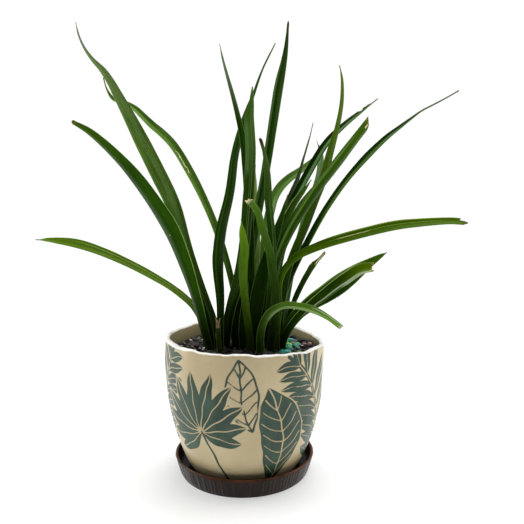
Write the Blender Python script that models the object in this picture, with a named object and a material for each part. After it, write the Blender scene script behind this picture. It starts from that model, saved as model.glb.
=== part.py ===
"""Potted snake plant: narrow strap leaves in a hand-built ceramic pot that stands in a fluted saucer.

The frame has +Z up and its origin at the middle of the saucer's underside. The front of the plant faces -Y,
with +X to the right. Driving dimensions are millimetres and are turned into metres where meshes are made.
"""

import math
import random
from dataclasses import dataclass

import bmesh
import bpy
import numpy as np
from mathutils import Euler, Vector

MM = 0.001
CLEARANCE = 0.3
TURNS = 48
SHARP_ANGLE = math.radians(50)

# Greens of the leaves, and the other finishes: (colour, roughness)
FINISHES = {
    "dark_leaf": ((0.025, 0.085, 0.012), 0.4),
    "mid_leaf": ((0.045, 0.13, 0.02), 0.42),
    "light_leaf": ((0.12, 0.27, 0.04), 0.45),
    "grey_leaf": ((0.16, 0.24, 0.12), 0.5),
    "dry_leaf": ((0.42, 0.28, 0.15), 0.8),
    "cream_glaze": ((0.74, 0.66, 0.47), 0.35),
    "dark_glaze": ((0.05, 0.025, 0.018), 0.3),
    "potting_mix": ((0.05, 0.035, 0.025), 0.95),
}

# Pot: a tapered bowl with a thick wall, an uneven rim and a drain hole
POT_HEIGHT = 110.0
POT_RADIUS = 65.3
POT_TAPER = 24.0
POT_TAPER_POWER = 2.8
POT_BANDS = (11, 19, 29, 41, 55, 70, 86, 99)
POT_WALL = 4.2
POT_FLOOR = 6.0
POT_FOOT_RADIUS = 41.0
POT_FOOT_ROUND = 4.5
POT_CORNER_INSET = 7.0
POT_CORNER_ROUND = 6.0
DRAIN_RADIUS = 6.0
RIM_MEAN = 0.6
RIM_TILT = 2.0
RIM_LEAD = 0.9
RIM_DIP = 2.8
RIM_DIP_ANGLE = math.radians(20)
RIM_WAVE = 0.5
RIM_WAVES = 5
RIM_REACH = 40.0

# Unevenness of the hand-built wall: (depth, waves round the pot, phase) each
WALL_WAVES = ((0.5, 2, 0.7), (0.25, 3, -0.4))

# Saucer: a thin fluted dish, its wall flaring by (out, up) steps from the foot
SAUCER_HEIGHT = 15.4
SAUCER_RADIUS = 57.4
SAUCER_FOOT_RADIUS = 53.0
SAUCER_FOOT_EDGE = (1.2, 1.0)
SAUCER_FLARE = ((1.3, 5.0), (3.0, 10.0))
SAUCER_FLOOR = 4.3
SAUCER_RIM = 2.4
SAUCER_CORNER_INSET = 4.0
SAUCER_CORNER_ROUND = 5.0
SAUCER_TURNS = 72
FLUTE_DEPTH = 0.35
FLUTE_WAVES = ((1.0, 18, 0.0), (0.7, 29, 1.0))

# Potting mix: a filling with a heaped, lumpy top
SOIL_LEVEL = 98.5
SOIL_RINGS = 9
SOIL_HEAP = 3.0
SOIL_LUMP = 0.7
SOIL_RIPPLES = ((1.0, 0.31, 0.0, 0.9), (0.8, 0.0, 0.27, -0.4), (0.6, 0.47, -0.38, 0.0))
SOIL_CORNER = (4.2, 2.4)
SOIL_BANDS = (19, 29, 41, 55, 70, 86, SOIL_LEVEL)

# Gravel lies in a patch at the right, bark chips and grit all over
CRUMB_SEED = 7
GRAVEL_COUNT = 24
GRAVEL_ANGLE = math.radians(8)
GRAVEL_SPREAD = math.radians(40)
GRAVEL_RADII = (40, 54)
GRAVEL_SIZES = (1.9, 2.9)
CHIP_COUNT = 34
CHIP_RADII = (8, 54)
CHIP_SIZES = (1.3, 2.6)
LUMPS_APART = 0.75
LUMP_RISE = 0.1
LUMP_STRETCH = ((0.8, 1.2), (0.7, 1.0), (0.6, 0.9))
LUMP_ROUGHNESS = (0.92, 1.08)
ROOT_MARGIN = 4.5

# Leaves: thick in the middle, thinner at the margins, folded into a shallow channel
ROOT_BOTTOM = 88.0
HOLE_GAP = CLEARANCE + 0.05
HOLE_SECTIONS = 3
LEAF_MIDDLE = 1.7
LEAF_MARGIN = 0.8
LEAF_TIP_THICKNESS = 0.8
LEAF_CHANNEL = 0.13
LEAF_FULL_WIDTH = 6.0
LEAF_STEP = 12.0


@dataclass(frozen=True)
class Leaf:
    """One blade: (x, y, z, width) from the soil up, and where its channel looks at the root and the tip."""

    name: str
    rows: tuple
    looks: tuple
    finish: str = "mid_leaf"
    slant: float = 0.0


LEFT_LEAVES = (
    Leaf(
        "leaf_tall_left",
        ((-24, 1, 100, 6.5), (-25, 1, 114, 8.5), (-29, 2, 126, 9.5), (-35, 3, 141, 10), (-49, 5, 180, 12),
         (-62, 8, 223, 13), (-70, 10, 239, 13.5), (-86, 12, 271, 13), (-102, 15, 302, 9), (-119, 18, 331, 5.5),
         (-129, 19, 342, 3), (-138, 21, 357, 1.5), (-142, 22, 372, 1)),
        ((0.5, -1, 0), (0.4, -1, 0.3)),
    ),
    Leaf(
        "leaf_broad_left",
        ((-29, -8, 101, 7.5), (-32, -9, 112, 8), (-38.8, -13, 142, 10.5), (-48.2, -19, 174, 13.8), (-57.3, -25, 198, 16.6),
         (-66.8, -29, 215, 14.8), (-85.5, -38, 243, 11.2), (-97, -43, 256, 9), (-110, -48, 268, 6),
         (-120, -52, 274, 3)),
        ((0.5, 0.8, 0), (0.4, 0.8, 0.5)),
        finish="dark_leaf",
    ),
    Leaf(
        "leaf_scarred_left",
        ((-3, 13, 98, 5), (-5, 15, 121, 5), (-9, 18, 142, 5), (-17, 23, 174, 5.5), (-35, 32, 221, 6.5),
         (-49, 38, 248, 7.5), (-69, 45, 278, 7.5), (-87, 49, 294, 7), (-103, 53, 309, 5.5), (-115, 56, 315, 4),
         (-123, 58, 318, 3), (-128, 60, 326, 1.5), (-132, 62, 338, 1)),
        ((0, -1, 0), (0.3, -1, 0.3)),
        finish="light_leaf",
    ),
    Leaf(
        "leaf_low_left",
        ((-34, 6, 99, 5), (-35, 7, 114, 5.5), (-44, 10, 133, 6), (-59, 13, 146, 6), (-81, 17, 159, 6.5),
         (-102, 22, 169, 7), (-124, 26, 178, 8), (-147, 30, 185, 8.5), (-167, 34, 188, 6), (-179, 36, 189, 3),
         (-188, 38, 189, 1)),
        ((0.8, -0.6, 0), (0.1, -1, 0.5)),
        finish="light_leaf",
    ),
    Leaf(
        "leaf_bowed_left",
        ((-19, -4, 101, 6.5), (-19, -3, 120, 7), (-19, -1, 138, 7.5), (-21, 4, 173, 11), (-19, 7, 195, 10.5),
         (-12, 12, 228, 8.5), (-7, 18, 265, 7.5), (-2, 21, 284, 7), (3, 24, 301, 4.5), (8, 26, 315, 2.5),
         (14, 29, 333, 1.5), (26, 34, 359, 1)),
        ((-0.5, -0.8, 0), (-0.4, -1, 0)),
        finish="dark_leaf",
    ),
    Leaf(
        "leaf_dried_stub",
        ((-20, -10, 101, 4), (-21, -11, 113, 4), (-21, -12, 128, 3.5)),
        ((0.3, -1, 0), (0.3, -1, 0)),
        finish="dry_leaf",
    ),
)

CENTRE_LEAVES = (
    Leaf(
        "leaf_cut_centre",
        ((-15, 1, 100, 7), (-14, 1, 115, 8.5), (-11, 0, 132, 9), (-6, -1, 150, 9.5), (1, -4, 187, 9.5),
         (3, -5, 210, 9.5), (5, -7, 234, 9.5), (6, -10, 269, 9), (5, -12, 284, 8.5), (6, -12, 293, 6),
         (7, -13, 302, 2), (7, -14, 309, 1)),
        ((-0.4, -1, 0), (-0.5, -1, 0)),
    ),
    Leaf(
        "leaf_thin_centre",
        ((4, 4, 99, 6.5), (5, 3, 140, 6.5), (5, 1, 181, 7), (4, 0, 210, 7), (1, -2, 256, 6), (-1, -2, 272, 5),
         (-5, -3, 290, 4), (-10, -4, 309, 3), (-16, -5, 331, 1.5), (-19, -6, 344, 1)),
        ((0, -1, 0), (-0.2, -1, 0)),
        finish="dark_leaf",
    ),
    Leaf(
        "leaf_tallest",
        ((-1, 7, 99, 7), (1, 8, 118, 7), (4, 11, 167, 7.5), (9, 13, 199, 8), (18, 18, 248, 7.5), (25, 22, 292, 8.5),
         (30, 25, 323, 8.5), (33, 26, 338, 6), (35, 27, 351, 4), (37, 30, 376, 1)),
        ((-0.3, -1, 0), (-0.5, -1, 0)),
        finish="dark_leaf",
    ),
    Leaf(
        "leaf_pale_front",
        ((5, -8, 100, 5.5), (4, -11, 117, 5.5), (1, -16, 140, 5.5), (0, -25, 173, 7), (1, -28, 184, 6.5),
         (0, -31, 193, 5.5), (-1, -34, 201, 3.5), (-1, -36, 206, 1)),
        ((0, 1, 0), (0.1, 1, 0.2)),
        finish="light_leaf",
    ),
    Leaf(
        "leaf_yellow_rear",
        ((5, 12, 97, 5), (6, 15, 125, 5.5), (9, 19, 159, 6), (10, 26, 206, 5.5), (8, 32, 244, 3.5), (9, 34, 255, 1)),
        ((0, -1, 0), (0, -1, 0)),
        finish="light_leaf",
    ),
    Leaf(
        "leaf_arching_rear",
        ((8, 14, 97, 7), (10, 17, 120, 7.5), (14, 24, 154, 8), (18, 32, 189, 8.5), (22, 39, 213, 9), (27, 43, 229, 9),
         (34, 46, 239, 9), (49, 51, 251, 7), (61, 55, 261, 5), (69, 58, 269, 2), (74, 60, 274, 1)),
        ((-0.4, -1, 0), (-0.4, -1, 0.5)),
    ),
)

RIGHT_LEAVES = (
    Leaf(
        "leaf_brown_tipped",
        ((15, -6, 100, 5.5), (18, -7, 116, 6), (21, -9, 137, 6.5), (23, -15, 178, 6.5), (22, -18, 198, 6),
         (20, -21, 217, 6), (19, -24, 236, 5.5), (18, -26, 248, 4), (16, -28, 257, 2.5), (13, -30, 267, 1)),
        ((-0.1, 1, 0), (-0.3, 1, 0)),
        finish="dark_leaf",
    ),
    Leaf(
        "leaf_curled_tip",
        ((21, -11, 101, 6), (23, -13, 116, 6.5), (25, -16, 133, 6), (25, -19, 149, 6), (23, -22, 163, 6.5),
         (21, -25, 178, 6), (14, -32, 202, 5.5), (12, -34, 210, 5), (9, -36, 216, 3.5), (7, -37, 219, 2.5),
         (4, -38, 221, 1.5)),
        ((0.2, 1, 0), (-0.2, 1, 0)),
        finish="grey_leaf",
    ),
    Leaf(
        "leaf_torn_right",
        ((14, 8, 98, 6.5), (16, 10, 117, 7), (20, 14, 147, 7), (25, 18, 176, 7.5), (32, 23, 202, 8), (48, 29, 234, 8),
         (62, 35, 259, 7.5), (70, 37, 272, 7), (86, 42, 289, 6), (99, 45, 300, 4.5), (110, 48, 309, 2),
         (119, 50, 316, 1)),
        ((-0.4, -1, 0), (-0.5, -1, 0.4)),
        finish="dark_leaf",
    ),
    Leaf(
        "leaf_spike",
        ((17, 12, 98, 5), (19, 15, 121, 5.5), (22, 20, 150, 6), (28, 26, 180, 6), (39, 35, 225, 5.5),
         (44, 38, 237, 4.5), (48, 41, 248, 3), (51, 43, 259, 2), (58, 49, 283, 1), (61, 52, 295, 1)),
        ((-0.4, -1, 0), (-0.4, -1, 0.2)),
        finish="dark_leaf",
    ),
    Leaf(
        "leaf_split_right",
        ((17.5, 4, 99, 6.5), (19.5, 5, 118, 7), (21, 6, 148, 7.5), (25, 8, 177, 8), (30, 9, 198, 8), (37, 10, 213, 8),
         (43, 11, 223, 7), (49, 11, 231, 5.5), (53, 12, 236, 3), (56, 12, 240, 1)),
        ((-0.3, -1, 0), (-0.4, -1, 0.3)),
        finish="dark_leaf",
    ),
    Leaf(
        "leaf_hidden_tip",
        ((25.5, 2, 100, 6.5), (25, 1, 119, 6.5), (26, 1, 148, 7.5), (28, 1, 169, 8), (32, 1, 186, 8), (44, 0, 211, 8),
         (51, 0, 223, 6.5), (57, 0, 231, 4.5), (62, 0, 240, 1)),
        ((-0.3, -1, 0), (-0.4, -1, 0.3)),
    ),
    Leaf(
        "leaf_grey_rear",
        ((33, 13, 98, 5), (34, 18, 120, 5.5), (39, 28, 154, 6), (47, 39, 184, 6.5), (55, 49, 211, 6.5),
         (62, 56, 230, 6.5), (67, 61, 244, 6.5), (70, 68, 261, 6), (70, 72, 272, 4), (67, 76, 283, 1)),
        ((-0.2, -1, 0), (0, -1, 0.2)),
        finish="grey_leaf",
    ),
    Leaf(
        "leaf_tall_right",
        ((29, 6, 98, 6.5), (30, 7, 118, 6.5), (32, 9, 139, 7), (37, 12, 164, 7), (54, 17, 206, 7.5), (61, 20, 225, 8),
         (67, 22, 240, 8), (74, 25, 266, 7), (79, 28, 283, 5), (84, 32, 310, 3.5), (84, 35, 331, 2), (82, 36, 341, 1)),
        ((-0.5, -0.9, 0), (-0.6, -0.8, 0.1)),
    ),
    Leaf(
        "leaf_cut_right",
        ((21, -2, 100, 6.5), (22, -4, 120, 7), (24, -6, 147, 7), (27, -8, 170, 7), (34, -11, 189, 7),
         (48, -14, 214, 8), (58, -17, 229, 9), (71, -20, 246, 9), (83, -23, 262, 8.5), (96, -26, 279, 8)),
        ((-0.4, 1, 0), (-0.5, 0.8, 0.4)),
        slant=2.6,
    ),
    Leaf(
        "leaf_hair_tip",
        ((31, 10, 98, 6), (30, 10, 117, 6), (32, 11, 136, 6), (43, 13, 167, 6), (51, 13, 183, 6), (70, 15, 217, 5.5),
         (88, 17, 242, 6), (106, 18, 262, 6.5), (123, 20, 278, 5), (136, 21, 288, 3), (149, 22, 298, 1.5),
         (166, 23, 307, 1), (182, 24, 316, 1)),
        ((-0.5, -0.8, 0), (-0.5, -0.8, 0.5)),
        finish="dark_leaf",
    ),
    Leaf(
        "leaf_long_right",
        ((27, -7, 101, 5.5), (27, -8, 117, 5.5), (29, -10, 132, 5), (29, -13, 157, 5.5), (33, -14, 167, 5.5),
         (39, -15, 174, 6), (57, -19, 184, 7), (71, -21, 189, 8), (92, -25, 195, 8.5), (118, -30, 201, 8),
         (138, -34, 203, 7), (154, -37, 204, 6), (167, -40, 203, 4.5)),
        ((-0.5, -0.8, 0), (-0.1, -0.8, 0.6)),
        finish="light_leaf",
        slant=-1.2,
    ),
    Leaf(
        "leaf_torn_short",
        ((33, 1.5, 99, 4), (34.5, 2.5, 114, 4), (38, 4, 128, 4.5), (47, 6, 150, 5), (58, 7, 169, 5.5), (61.5, 8, 174, 5),
         (64.5, 8, 178, 2.5), (67, 8, 180, 1)),
        ((-0.5, -0.8, 0), (-0.5, -0.8, 0.4)),
        finish="dark_leaf",
    ),
    Leaf(
        "leaf_wide_right",
        ((31, -3.2, 101, 6.5), (32.5, -3, 110, 7), (37, -2.5, 120, 8), (43, -3, 127, 9.5), (59.7, -5, 141, 14),
         (72, -6, 148.5, 16.5), (80.8, -7, 155.8, 16.5), (89.7, -8, 162, 14), (99.4, -10, 170.4, 8.5),
         (108.5, -11, 176, 4), (114, -12, 180, 1)),
        ((-0.6, -0.7, 0), (-0.3, -0.9, 0.5)),
    ),
    Leaf(
        "leaf_low_right",
        ((31.5, -7.5, 101, 6), (34, -8, 112, 6.5), (40.5, -9.5, 123, 6.5), (55.5, -14, 139, 8), (65.5, -17, 147.5, 9.5),
         (75.5, -20, 156, 10), (85.5, -23, 163, 10.5), (94.5, -26, 168.5, 9.5), (102, -28, 169, 8)),
        ((-0.6, -0.7, 0), (-0.3, -0.8, 0.6)),
        slant=-2.0,
    ),
    Leaf(
        "leaf_arching_front",
        ((14, -16, 101, 7), (14, -20, 117, 6.5), (19, -26, 131, 6.5), (26, -31, 138, 6), (34, -35, 141, 5.5),
         (45, -42, 140.3, 6), (56, -49, 137.5, 6), (64, -56, 133.3, 4.5), (70.5, -62, 129, 1.6)),
        ((-0.5, -0.8, 0), (0.2, -0.7, 0.7)),
        finish="light_leaf",
    ),
)

INNER_LEAVES = (
    Leaf(
        "leaf_inner_left",
        ((-27, -4, 100, 5), (-28.5, -4.5, 116, 5.5), (-33, -5.5, 134, 5), (-40, -6.5, 156, 3), (-44, -7, 168, 1)),
        ((0.2, -1, 0), (0.2, -1, 0.2)),
        finish="dark_leaf",
    ),
    Leaf(
        "leaf_inner_centre",
        ((-7, 3, 98, 7.5), (-7, 3.5, 116, 9), (-5, 4, 134, 8.5), (-2, 4, 156, 6), (0, 4, 176, 3), (1, 4, 188, 1)),
        ((0, -1, 0), (0, -1, 0)),
        finish="dark_leaf",
    ),
    Leaf(
        "leaf_inner_front",
        ((-1, -3, 99, 6), (-1, -3, 116, 7.5), (0, -2.5, 133, 6), (2, -1.5, 146, 3.5), (3, -1, 156, 1)),
        ((0, -1, 0), (0, -1, 0)),
        finish="dark_leaf",
    ),
    Leaf(
        "leaf_inner_broad",
        ((9.5, -2, 99, 6), (9, -2, 118, 9), (10, -2, 136, 12), (13.5, -2.5, 154, 12), (20, -3, 176, 10),
         (27, -4, 198, 6.5), (32, -5, 214, 3), (35, -6, 226, 1)),
        ((0, -1, 0), (-0.2, -1, 0.2)),
        finish="dark_leaf",
    ),
)

LEAVES = LEFT_LEAVES + CENTRE_LEAVES + RIGHT_LEAVES + INNER_LEAVES


def clear_scene():
    """Removes the objects that the file opened with."""
    for obj in list(bpy.data.objects):
        bpy.data.objects.remove(obj, do_unlink=True)


def make_material(name):
    """A Principled material in one of the FINISHES."""
    colour, roughness = FINISHES[name]
    material = bpy.data.materials.new(name)
    material.use_nodes = True
    surface = material.node_tree.nodes["Principled BSDF"]
    surface.inputs["Base Color"].default_value = (*colour, 1.0)
    surface.inputs["Roughness"].default_value = roughness
    surface.inputs["Metallic"].default_value = 0.0
    return material


def make_object(name, bm, origin=(0.0, 0.0, 0.0), finish=None, parent=None):
    """An object from a bmesh in metres, its own origin at a point in millimetres, smooth but for sharp edges."""
    place = Vector(origin) * MM
    bmesh.ops.translate(bm, vec=-place, verts=bm.verts)
    bmesh.ops.recalc_face_normals(bm, faces=bm.faces)
    mesh = bpy.data.meshes.new(name)
    bm.to_mesh(mesh)
    bm.free()
    mesh.shade_smooth()
    mesh.set_sharp_from_angle(angle=SHARP_ANGLE)
    if finish:
        mesh.materials.append(bpy.data.materials.get(finish) or make_material(finish))
    obj = bpy.data.objects.new(name, mesh)
    obj.location = place
    obj.parent = parent
    bpy.context.scene.collection.objects.link(obj)
    return obj


def make_parent():
    """The empty that carries every piece, so that the plant moves as one."""
    empty = bpy.data.objects.new("potted_plant", None)
    bpy.context.scene.collection.objects.link(empty)
    return empty


def turned(profile, steps):
    """A bmesh from an (x, z) outline in millimetres, spun round the Z axis and closed at the poles."""
    bm = bmesh.new()
    verts = [bm.verts.new((x * MM, 0, z * MM)) for x, z in profile]
    edges = [bm.edges.new(pair) for pair in zip(verts, verts[1:])]
    if profile[0][0] > 0:
        edges.append(bm.edges.new((verts[-1], verts[0])))
    bmesh.ops.spin(
        bm, geom=verts + edges, axis=(0, 0, 1), cent=(0, 0, 0), steps=steps, angle=math.tau
    )
    bmesh.ops.remove_doubles(bm, verts=bm.verts, dist=1e-6)
    return bm


def arc(centre_x, centre_z, radius, start, end, count):
    """Points of an arc, its angles in degrees from +X towards +Z."""
    angles = np.radians(np.linspace(start, end, count))
    return [(centre_x + radius * math.cos(a), centre_z + radius * math.sin(a)) for a in angles]


def waves(angle, terms):
    """The sum of a few cosine waves round the Z axis: (depth, count, phase) each."""
    return sum(depth * math.cos(count * angle + phase) for depth, count, phase in terms)


def pot_radius(z):
    """Outer radius of the pot's wall at a height above the saucer's underside."""
    return POT_RADIUS - POT_TAPER * (1 - z / POT_HEIGHT) ** POT_TAPER_POWER


def inner_radius(z):
    """Inner radius of the pot's wall."""
    return pot_radius(z) - POT_WALL


def rim_rise(angle):
    """How far the hand-built rim stands above or below its mean height, all round."""
    around_dip = math.remainder(angle, math.tau) / RIM_DIP_ANGLE
    dip = RIM_DIP * math.exp(-(around_dip**2))
    tilt = RIM_LEAD * math.sin(angle) - RIM_TILT * math.cos(angle)
    return RIM_MEAN + tilt - dip + RIM_WAVE * math.cos(RIM_WAVES * angle + 1)


def shape_by_hand(bm):
    """Lifts the rim by its wave and pushes the wall in and out a little, as a hand-built pot has."""
    for vert in bm.verts:
        x, y, z = vert.co / MM
        angle = math.atan2(y, x)
        radius = math.hypot(x, y)
        near_rim = min(max((z - (POT_HEIGHT - RIM_REACH)) / RIM_REACH, 0), 1)
        above_saucer = min(max((z - SAUCER_HEIGHT) / SAUCER_HEIGHT, 0), 1)
        share = 1 + above_saucer * waves(angle, WALL_WAVES) / radius
        vert.co = Vector((x * share, y * share, z + rim_rise(angle) * near_rim**2)) * MM


def make_pot(parent):
    foot = SAUCER_FLOOR + CLEARANCE
    floor_top = foot + POT_FLOOR
    half_wall = POT_WALL / 2
    rim_middle = pot_radius(POT_HEIGHT) - half_wall
    corner = inner_radius(POT_BANDS[1]) - POT_CORNER_INSET
    profile = [(DRAIN_RADIUS, foot), (POT_FOOT_RADIUS, foot)]
    profile += arc(POT_FOOT_RADIUS, foot + POT_FOOT_ROUND, POT_FOOT_ROUND, -60, -10, 3)
    profile += [(pot_radius(z), z) for z in POT_BANDS]
    profile += arc(rim_middle, POT_HEIGHT - half_wall, half_wall, 0, 180, 7)
    profile += [(inner_radius(z), z) for z in POT_BANDS[:0:-1]]
    profile += arc(corner, floor_top + POT_CORNER_ROUND, POT_CORNER_ROUND, -20, -90, 4)
    profile.append((DRAIN_RADIUS, floor_top))
    bm = turned(profile, TURNS)
    shape_by_hand(bm)
    return make_object("pot", bm, (0, 0, foot), "cream_glaze", parent)


def make_saucer(parent):
    rim_half = SAUCER_RIM / 2
    edge_in, edge_up = SAUCER_FOOT_EDGE
    corner = SAUCER_FOOT_RADIUS - SAUCER_CORNER_INSET
    profile = [(0, 0), (SAUCER_FOOT_RADIUS - edge_in, 0), (SAUCER_FOOT_RADIUS, edge_up)]
    profile += [(SAUCER_FOOT_RADIUS + out, up) for out, up in SAUCER_FLARE]
    profile += arc(SAUCER_RADIUS - rim_half, SAUCER_HEIGHT - rim_half, rim_half, 0, 180, 5)
    profile += arc(corner, SAUCER_FLOOR + SAUCER_CORNER_ROUND, SAUCER_CORNER_ROUND, 0, -90, 4)
    profile.append((0, SAUCER_FLOOR))
    bm = turned(profile, SAUCER_TURNS)
    for vert in bm.verts:
        x, y, z = vert.co / MM
        radius = math.hypot(x, y)
        if z >= edge_up / 2 and radius > SAUCER_FOOT_RADIUS - edge_in / 2:
            share = 1 + FLUTE_DEPTH * waves(math.atan2(y, x), FLUTE_WAVES) / radius
            vert.co = Vector((x * share, y * share, z)) * MM
    return make_object("saucer", bm, (0, 0, 0), "dark_glaze", parent)


def soil_top(x, y):
    """Height of the potting mix: heaped at the back, and a little at each side, with low lumps."""
    radius = math.hypot(x, y)
    heap = SOIL_HEAP * (0.5 + 0.5 * y / POT_RADIUS) * (radius / POT_RADIUS)
    ripples = sum(depth * math.cos(a * x + b * y + phase) for depth, a, b, phase in SOIL_RIPPLES)
    return SOIL_LEVEL + heap + SOIL_LUMP * ripples


def make_soil_body():
    """The filling of the pot, clear of its wall and floor, with its top shaped by soil_top."""
    floor = SAUCER_FLOOR + POT_FLOOR + 2 * CLEARANCE
    corner_out, corner_up = SOIL_CORNER
    edge = inner_radius(POT_BANDS[1]) - POT_CORNER_INSET
    profile = [(0, floor), (edge, floor), (edge + corner_out, floor + corner_up)]
    profile += [(inner_radius(z) - 2 * CLEARANCE, z) for z in SOIL_BANDS]
    top_radii = np.linspace(profile[-1][0], 0, SOIL_RINGS + 1)[1:]
    profile += [(radius, SOIL_LEVEL) for radius in top_radii]
    bm = turned(profile, TURNS)
    for vert in bm.verts:
        x, y, z = vert.co / MM
        if z < SAUCER_HEIGHT:
            continue
        share = 1 + waves(math.atan2(y, x), WALL_WAVES) / POT_RADIUS
        on_top = z > SOIL_LEVEL - CLEARANCE
        vert.co = Vector((x * share, y * share, soil_top(x, y) if on_top else z)) * MM
    return bm


def root_distance(x, y):
    """How far a point of the soil's surface is from the nearest leaf."""
    return min(math.hypot(x - leaf.rows[0][0], y - leaf.rows[0][1]) for leaf in LEAVES)


def place_lumps(draw, count, near_angle, spread, radii, sizes):
    """Seeded places for lumps that lie on the soil clear of the leaves: (x, y, size) each."""
    placed = []
    while len(placed) < count:
        angle = near_angle + spread * draw.uniform(-1, 1)
        radius = draw.uniform(*radii)
        size = draw.uniform(*sizes)
        x, y = radius * math.cos(angle), radius * math.sin(angle)
        apart = min((math.hypot(x - a, y - b) / (size + c) for a, b, c in placed), default=1)
        if root_distance(x, y) > size + ROOT_MARGIN and apart > LUMPS_APART:
            placed.append((x, y, size))
    return placed


def make_lump(name, draw, x, y, size):
    """A stone or a bark chip: a small faceted ball, squashed and turned at random, sunk into the soil."""
    bm = bmesh.new()
    bmesh.ops.create_icosphere(bm, subdivisions=1, radius=size * MM)
    stretch = Vector([draw.uniform(*limits) for limits in LUMP_STRETCH])
    turn = Euler((0, 0, draw.uniform(0, math.tau)))
    middle = (x, y, soil_top(x, y) + LUMP_RISE * size)
    for vert in bm.verts:
        vert.co = vert.co * stretch * draw.uniform(*LUMP_ROUGHNESS)
        vert.co.rotate(turn)
        vert.co += Vector(middle) * MM
    return make_object(name, bm, middle)


def boolean_with(obj, others, operation):
    """Joins or cuts an object with others through one applied Boolean, and removes the others."""
    group = bpy.data.collections.new("operands")
    for other in others:
        group.objects.link(other)
    modifier = obj.modifiers.new("boolean", "BOOLEAN")
    modifier.operation = operation
    modifier.operand_type = "COLLECTION"
    modifier.collection = group
    modifier.solver = "EXACT"
    bpy.context.view_layer.objects.active = obj
    bpy.ops.object.modifier_apply(modifier=modifier.name)
    for other in others:
        bpy.data.objects.remove(other, do_unlink=True)
    bpy.data.collections.remove(group)


def smooth_route(rows):
    """(point, width) at even steps on a smooth curve through a leaf's rows, from its root in the soil."""
    x, y, _, width = rows[0]
    rows = np.array(((x, y, ROOT_BOTTOM, width), *rows), float)
    gaps = np.linalg.norm(np.diff(rows[:, :3], axis=0), axis=1)
    at = np.concatenate(([0.0], np.cumsum(gaps)))
    slopes = np.gradient(rows[:, :3], at, axis=0)
    steps = round(at[-1] / LEAF_STEP)
    route = []
    for distance in np.linspace(0, at[-1], steps + 1):
        i = min(int(np.searchsorted(at, distance, side="right")) - 1, len(gaps) - 1)
        t = (distance - at[i]) / gaps[i]
        point = (
            (1 + 2 * t) * (1 - t) ** 2 * rows[i, :3]
            + t * (1 - t) ** 2 * gaps[i] * slopes[i]
            + t * t * (3 - 2 * t) * rows[i + 1, :3]
            + t * t * (t - 1) * gaps[i] * slopes[i + 1]
        )
        route.append((Vector(point), float(np.interp(distance, at, rows[:, 3]))))
    return route


def leaf_sections(leaf, grow=0.0):
    """The six-cornered section of a leaf at each step: margin, middle and margin, above and then below."""
    route = smooth_route(leaf.rows)
    last = len(route) - 1
    root_look, tip_look = Vector(leaf.looks[0]), Vector(leaf.looks[1])
    sections = []
    for i, (point, width) in enumerate(route):
        along = (route[min(i + 1, last)][0] - route[max(i - 1, 0)][0]).normalized()
        side = along.cross(root_look.lerp(tip_look, i / last)).normalized()
        face = side.cross(along).normalized()
        fullness = min(width / LEAF_FULL_WIDTH, 1.0)
        thickness = LEAF_TIP_THICKNESS + (LEAF_MIDDLE - LEAF_TIP_THICKNESS) * fullness
        middle = face * (thickness / 2 + grow)
        margin = face * (LEAF_MARGIN / 2 + grow)
        half = side * (width / 2 + grow)
        fold = face * (LEAF_CHANNEL * width)
        lean = along * (leaf.slant if i == last else 0.0)
        left, right = point + fold - half - lean, point + fold + half + lean
        above = (left + margin, point + middle, right + margin)
        below = (right - margin, point - middle, left - margin)
        sections.append(above + below)
    return sections


def loft(sections):
    """A closed bmesh through six-cornered sections, with both faces split alike."""
    bm = bmesh.new()
    rings = [[bm.verts.new(corner * MM) for corner in section] for section in sections]
    for lower, upper in zip(rings, rings[1:]):
        for i in range(6):
            j = (i + 1) % 6
            if i < 3:
                bm.faces.new((lower[i], lower[j], upper[j]))
                bm.faces.new((lower[i], upper[j], upper[i]))
            else:
                bm.faces.new((lower[i], lower[j], upper[i]))
                bm.faces.new((lower[j], upper[j], upper[i]))
    for ring, flip in ((rings[0], True), (rings[-1], False)):
        for quad in ((0, 1, 4, 5), (1, 2, 3, 4)):
            corners = [ring[k] for k in quad]
            bm.faces.new(corners[::-1] if flip else corners)
    return bm


def make_leaf(leaf, parent):
    return make_object(leaf.name, loft(leaf_sections(leaf)), leaf.rows[0][:3], leaf.finish, parent)


def make_hole(leaf):
    """A cutter for the plain hole that a leaf stands in, a gap wider and deeper than its root."""
    sections = leaf_sections(leaf, HOLE_GAP)[:HOLE_SECTIONS]
    sections[0] = tuple(corner - Vector((0, 0, HOLE_GAP)) for corner in sections[0])
    return make_object(f"hole_{leaf.name}", loft(sections))


def make_soil(parent):
    """The potting mix with its stones and chips, and a plain hole for each leaf."""
    soil = make_object("soil", make_soil_body(), (0, 0, SOIL_LEVEL), "potting_mix", parent)
    draw = random.Random(CRUMB_SEED)
    places = place_lumps(draw, GRAVEL_COUNT, GRAVEL_ANGLE, GRAVEL_SPREAD, GRAVEL_RADII, GRAVEL_SIZES)
    places += place_lumps(draw, CHIP_COUNT, math.pi, math.pi, CHIP_RADII, CHIP_SIZES)
    lumps = [make_lump(f"lump_{i}", draw, *place) for i, place in enumerate(places)]
    boolean_with(soil, lumps, "UNION")
    boolean_with(soil, [make_hole(leaf) for leaf in LEAVES], "DIFFERENCE")
    return soil


def main():
    clear_scene()
    plant = make_parent()
    make_saucer(plant)
    make_pot(plant)
    make_soil(plant)
    for leaf in LEAVES:
        make_leaf(leaf, plant)


if __name__ == "__main__":
    main()
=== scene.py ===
"""Looks of the potted snake plant: leaves, painted pot, fluted saucer, potting mix and a white studio."""

import logging
import math
import random
from dataclasses import dataclass, field, replace
from enum import Enum

import bmesh
import bpy
import numpy as np
from mathutils import Matrix, Vector, noise


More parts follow.
